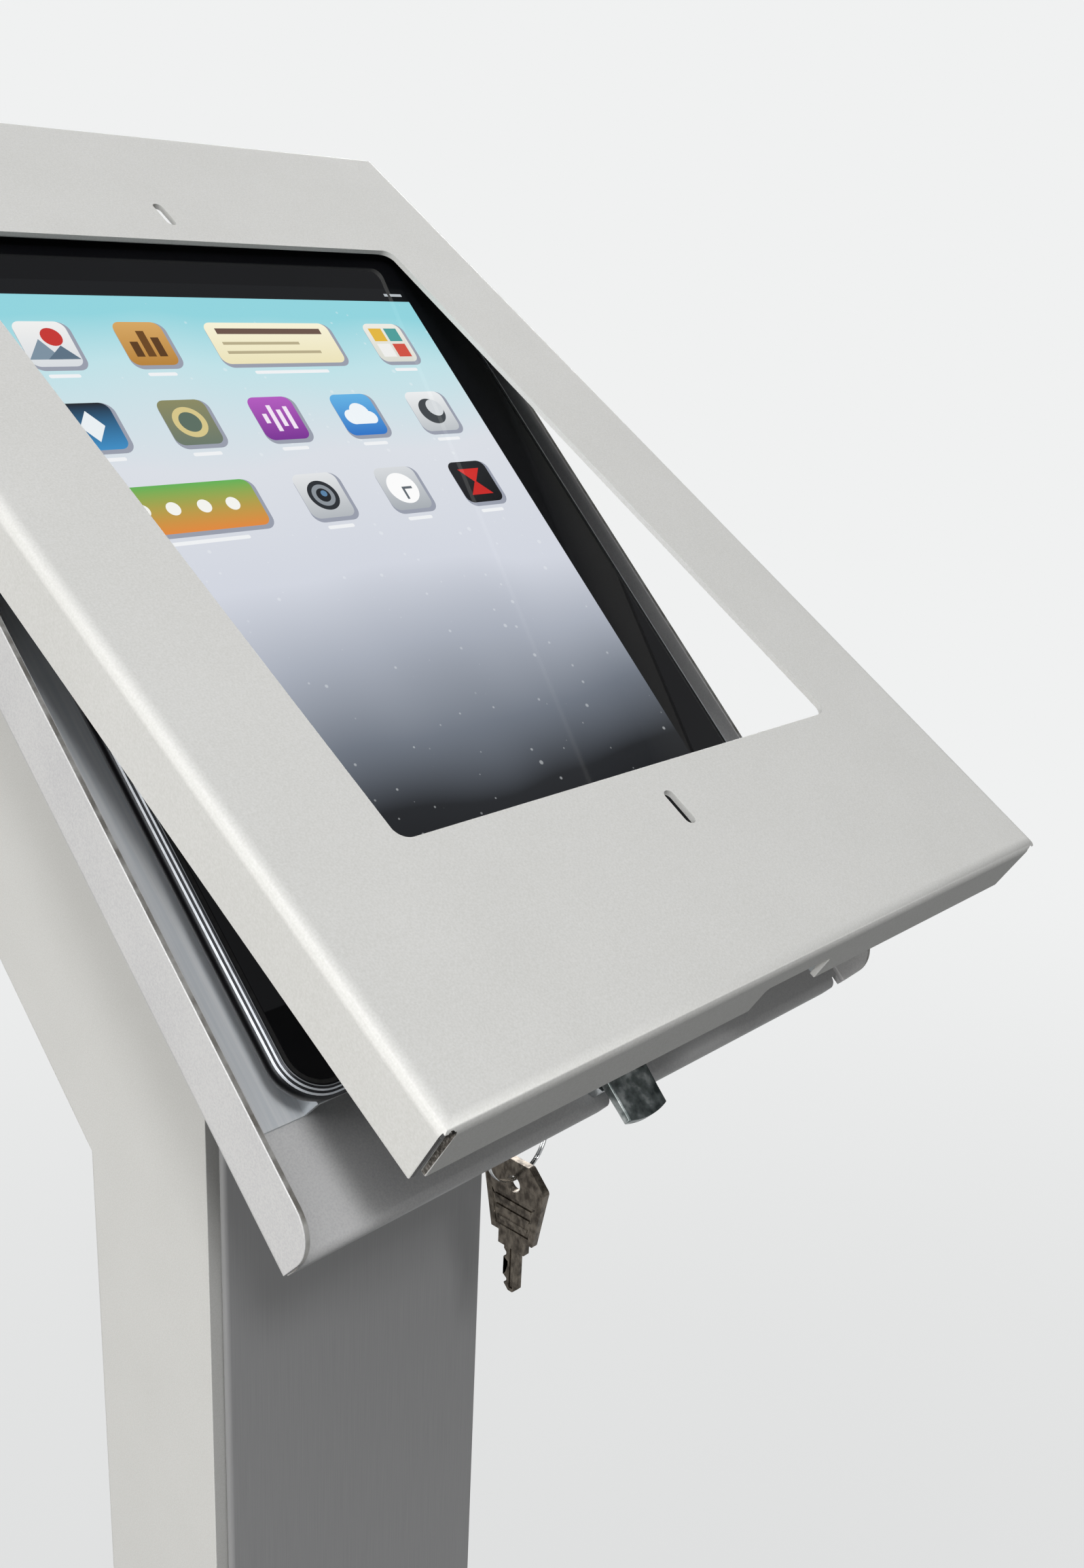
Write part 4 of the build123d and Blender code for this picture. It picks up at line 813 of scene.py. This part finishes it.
class STAND_OT_tablet(bpy.types.Operator):
    """Builds the tablet's shell and rim, its lit screen, and finishes its glass, keys and inside"""
    bl_idname = "stand.tablet"
    bl_label = "Tablet"

    def execute(self, context):
        shell = carve(tablet_shell_mesh(), tablet_wells())
        # The shell's dark faces are painted shade, and the rim's pale strips are painted highlight.
        place_piece("tablet_case", shell, [shell_painted_shade, rim_painted_highlight], "root", ["tablet_shell"], 32)
        paint(black_glass, "tablet_glass", "home_button")
        # The side keys take the shell's dark painted shade.
        paint(shell_painted_shade, "power_button", "volume_rocker")
        paint(moulded_rubber, "tablet_gasket")
        paint(foil_pouch, "tablet_battery", "tablet_screen")
        paint(circuit_board, "tablet_board")
        self.light_screen()
        return {"FINISHED"}

    def light_screen(self):
        half = SCREEN_W / 2
        corners = bar(-half, SCREEN_S0, half, SCREEN_S1 - STATUS_H)
        mesh = prism(corners, GLASS_N - 0.05, SCREEN_N, depth_first)
        place_piece("screen_light", mesh, [lit_screen], "root")

        sheet = TileSheet()
        top = SCREEN_S1 - STATUS_H / 2
        sheet.lay(0, top, bar(-half, -STATUS_H / 2, half, STATUS_H / 2), 0, "0C0D0F")
        for x, width in ((-70, 2.2), (-64, 3.4), (66, 1.4), (70, 4.6)):
            sheet.lay(x, top, bar(-width / 2, -0.5, width / 2, 0.5), 1, "B9BFC4")
        side = looks().tile_side / MM
        for x, s, width, upper, lower, marks in TILES:
            outline = rounded(width * side / TILE, side, 2.6)
            # Under each tile lies a grey plate, a little larger and set right and down: a painted drop shadow in the
            # screen's picture.
            sheet.lay(x + 0.5, s - 0.7, rounded(width * side / TILE + 1.2, side + 1.2, 3.2), 0, "9BA0AE")
            sheet.lay(x, s, outline, 1, upper, lower)
            for level, (colour, points) in enumerate(marks, 2):
                sheet.lay(x, s, points, level, colour)
            sheet.lay(x, s - side / 2 - 3.0, rounded(width * 0.6, 1.1, 0.5, 4), 1, "F3F5F7")
        mesh = as_mesh(sheet.bm, "screen_tiles")
        place_piece("screen_tiles", mesh, [lit_tiles], "root")


def end_flange_cut(face):
    """Whether a face is the bare end of the upper or the lower flange, in an open corner."""
    side = abs(face.calc_center_median().x)
    return abs(face.normal.x) > SIDEWAYS and abs(side - FLANGE_END) < NEARBY


def side_flange_cut(face):
    """Whether a face is the bare end of a side flange or the round relief above it, in an open corner."""
    side = abs(face.calc_center_median().x)
    along = abs(face.normal.dot(COVER_UP))
    end = side > FLANGE_END + 1.4 * MM and abs(face.normal.x) < UPRIGHT and along > SIDEWAYS
    relief = side > FLANGE_END - 2.0 * MM and min(abs(face.normal.x), along) > 0.15
    return end or relief


class STAND_OT_cover(bpy.types.Operator):
    """Finishes the cover and the keeper inside it"""
    bl_idname = "stand.cover"
    bl_label = "Cover"

    def execute(self, context):
        # The side flanges' bare ends and reliefs are painted near black as the shade in the open corners' slits.
        soften("front_cover", "cover_sheet", cover_coat, looks().edge_round,
               [(bare_edge, end_flange_cut), (oxide_and_slit_shade, side_flange_cut)])
        soften("lock_keeper", "keeper_plated", zinc_plate, 0.2 * MM)
        return {"FINISHED"}


class STAND_OT_lock(bpy.types.Operator):
    """Finishes the lock, its cam and its nut"""
    bl_idname = "stand.lock"
    bl_label = "Lock"

    def execute(self, context):
        soften("lock_cam", "cam_cast", cast_zinc, 0.45 * MM)
        soften("lock_body", "lock_barrel", cast_zinc, 0.3 * MM)
        soften("lock_plug", "lock_plug_cut", nickel_plate, 0.12 * MM)
        soften("cam_screw", "cam_screw_plated", zinc_plate, 0.2 * MM)
        soften("lock_nut", "lock_nut_plated", zinc_plate, 0.3 * MM)
        paint(zinc_plate, "lock_sleeve")
        return {"FINISHED"}


# The keys, in their own plane: across, and down from the end of the bow. The hanging key's hole and the hole of the
# key in the lock are where the ring's joints are.
HOLE_DOWN = 7.0
HALF_BOW = 1.1
HALF_BLADE = 0.75
SUNK = 0.3
PANEL_TOP = 11.2
PANEL_LOW = 21.2
SPARE_HOLE = Vector(JOINTS["spare_swing"]["pos_m"])


def on_spare(x, y, down):
    """A point on the hanging key, in millimetres."""
    return SPARE_HOLE + MM * Vector((x, y, HOLE_DOWN - down))


def in_lock(x, y, down):
    """A point on the key in the lock, in millimetres."""
    return on_tray(x, LOCK_S - y, down - 37)


def key_cutters(place):
    """What sinks the panel with three raised bars into both faces of the bow, and the groove into both of the blade."""
    cutters = []
    bands = ((PANEL_TOP, 12.6), (13.6, 15.6), (16.6, 18.6), (19.6, PANEL_LOW))
    for side in (-1, 1):
        face = side * HALF_BOW
        near, far = sorted((face - side * SUNK, face + side))
        for top, low in bands:
            half_top = 8.0 - 0.2 * (top - PANEL_TOP)
            half_low = 8.0 - 0.2 * (low - PANEL_TOP)
            band = [(-half_top, top), (half_top, top), (half_low, low), (-half_low, low)]
            cutters.append(prism(band, near, far, place))
        for edge in (-1, 1):
            rail = [(edge * 8.0, PANEL_TOP), (edge * 6.9, PANEL_TOP), (edge * 4.9, PANEL_LOW), (edge * 6.0, PANEL_LOW)]
            cutters.append(prism(rail, near, far, place))
        face = side * HALF_BLADE
        near, far = sorted((face - side * SUNK, face + side))
        cutters.append(prism(bar(-0.9, 27.2, 0.5, 39.4), near, far, place))
    return cutters


def split_ring_mesh():
    """A split ring of two turns of wire side by side, with its ends cut square. Halfway along, the wire crosses from
    one side to the other."""
    middle = (Vector(JOINTS["ring_swing"]["pos_m"]) + SPARE_HOLE) / 2
    radius = 11.0
    wire = 0.34
    steps = 144
    sides = 12
    round_wire = [2 * math.pi * k / sides for k in range(sides)]
    bm = bmesh.new()
    rings = []
    for i in range(steps + 1):
        share = i / steps
        turn = math.radians(60 + 705 * share)
        blend = min(max((share - 0.46) / 0.08, 0), 1)
        aside = (-1 + 2 * blend * blend * (3 - 2 * blend)) * (wire + 0.01)
        out = Vector((math.cos(turn), 0, math.sin(turn)))
        centre = middle + MM * (radius * out + Vector((0, aside, 0)))
        rings.append([
            bm.verts.new(centre + MM * wire * (math.cos(a) * out + math.sin(a) * Vector((0, 1, 0))))
            for a in round_wire])
    for low, high in zip(rings, rings[1:]):
        for k in range(sides):
            after = (k + 1) % sides
            bm.faces.new((low[k], low[after], high[after], high[k]))
    bm.faces.new(rings[0])
    bm.faces.new(rings[-1])
    return as_mesh(bm, "split_ring")


class STAND_OT_keys(bpy.types.Operator):
    """Builds the two keys and the split ring"""
    bl_idname = "stand.keys"
    bl_label = "Keys"

    def execute(self, context):
        soften("key_in_lock", "lock_key", nickel_plate, 0.15 * MM, cutters=key_cutters(in_lock))
        soften("spare_key", "hanging_key", nickel_plate, 0.15 * MM, cutters=key_cutters(on_spare))
        place_piece("split_ring", split_ring_mesh(), [ring_wire], frame["nodes"]["key_ring"]["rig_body"],
                    ["key_ring"], 60)
        return {"FINISHED"}


# What a user sets, the steps and the sidebar


class StandLooks(bpy.types.PropertyGroup):
    edge_round: FloatProperty(
        name="Sheet edge", description="How far a sheet's cut edge is rounded", default=0.25 * MM, min=0.05 * MM,
        max=0.6 * MM, subtype="DISTANCE", unit="LENGTH", precision=5)
    tile_side: FloatProperty(
        name="Tile", description="The side of a tile on the screen", default=14.5 * MM, min=6 * MM, max=20 * MM,
        subtype="DISTANCE", unit="LENGTH", precision=5)
    cover_colour: FloatVectorProperty(
        name="Cover", description="The paler colour of the cover's coat", default=linear("D0D0CE")[:3], size=3, min=0,
        max=1, subtype="COLOR")
    tray_colour: FloatVectorProperty(
        name="Tray", description="The paler colour of the tray's coat", default=linear("CACACA")[:3], size=3, min=0,
        max=1, subtype="COLOR")
    post_colour: FloatVectorProperty(
        name="Post", description="The paler colour of the rear channel's coat", default=linear("D1D1CF")[:3], size=3,
        min=0, max=1, subtype="COLOR")


STEPS = (STAND_OT_stage, STAND_OT_base, STAND_OT_post, STAND_OT_tray, STAND_OT_hardware, STAND_OT_tablet,
         STAND_OT_cover, STAND_OT_lock, STAND_OT_keys)


class STAND_PT_sidebar(bpy.types.Panel):
    """The stand's sizes, colours and steps"""
    bl_idname = "STAND_PT_sidebar"
    bl_label = "Tablet floor stand"
    bl_space_type = "VIEW_3D"
    bl_region_type = "UI"
    bl_category = "Stand"

    def draw(self, context):
        for key in StandLooks.__annotations__:
            self.layout.prop(context.scene.stand_looks, key)
        for step in STEPS:
            self.layout.operator(step.bl_idname)


def register():
    for kind in (StandLooks, *STEPS, STAND_PT_sidebar):
        bpy.utils.register_class(kind)
    bpy.types.Scene.stand_looks = PointerProperty(type=StandLooks)


def unregister():
    del bpy.types.Scene.stand_looks
    for kind in reversed((StandLooks, *STEPS, STAND_PT_sidebar)):
        bpy.utils.unregister_class(kind)


def main():
    register()
    for step in STEPS:
        area, call = step.bl_idname.split(".")
        getattr(getattr(bpy.ops, area), call)()


if __name__ == "__main__":
    main()
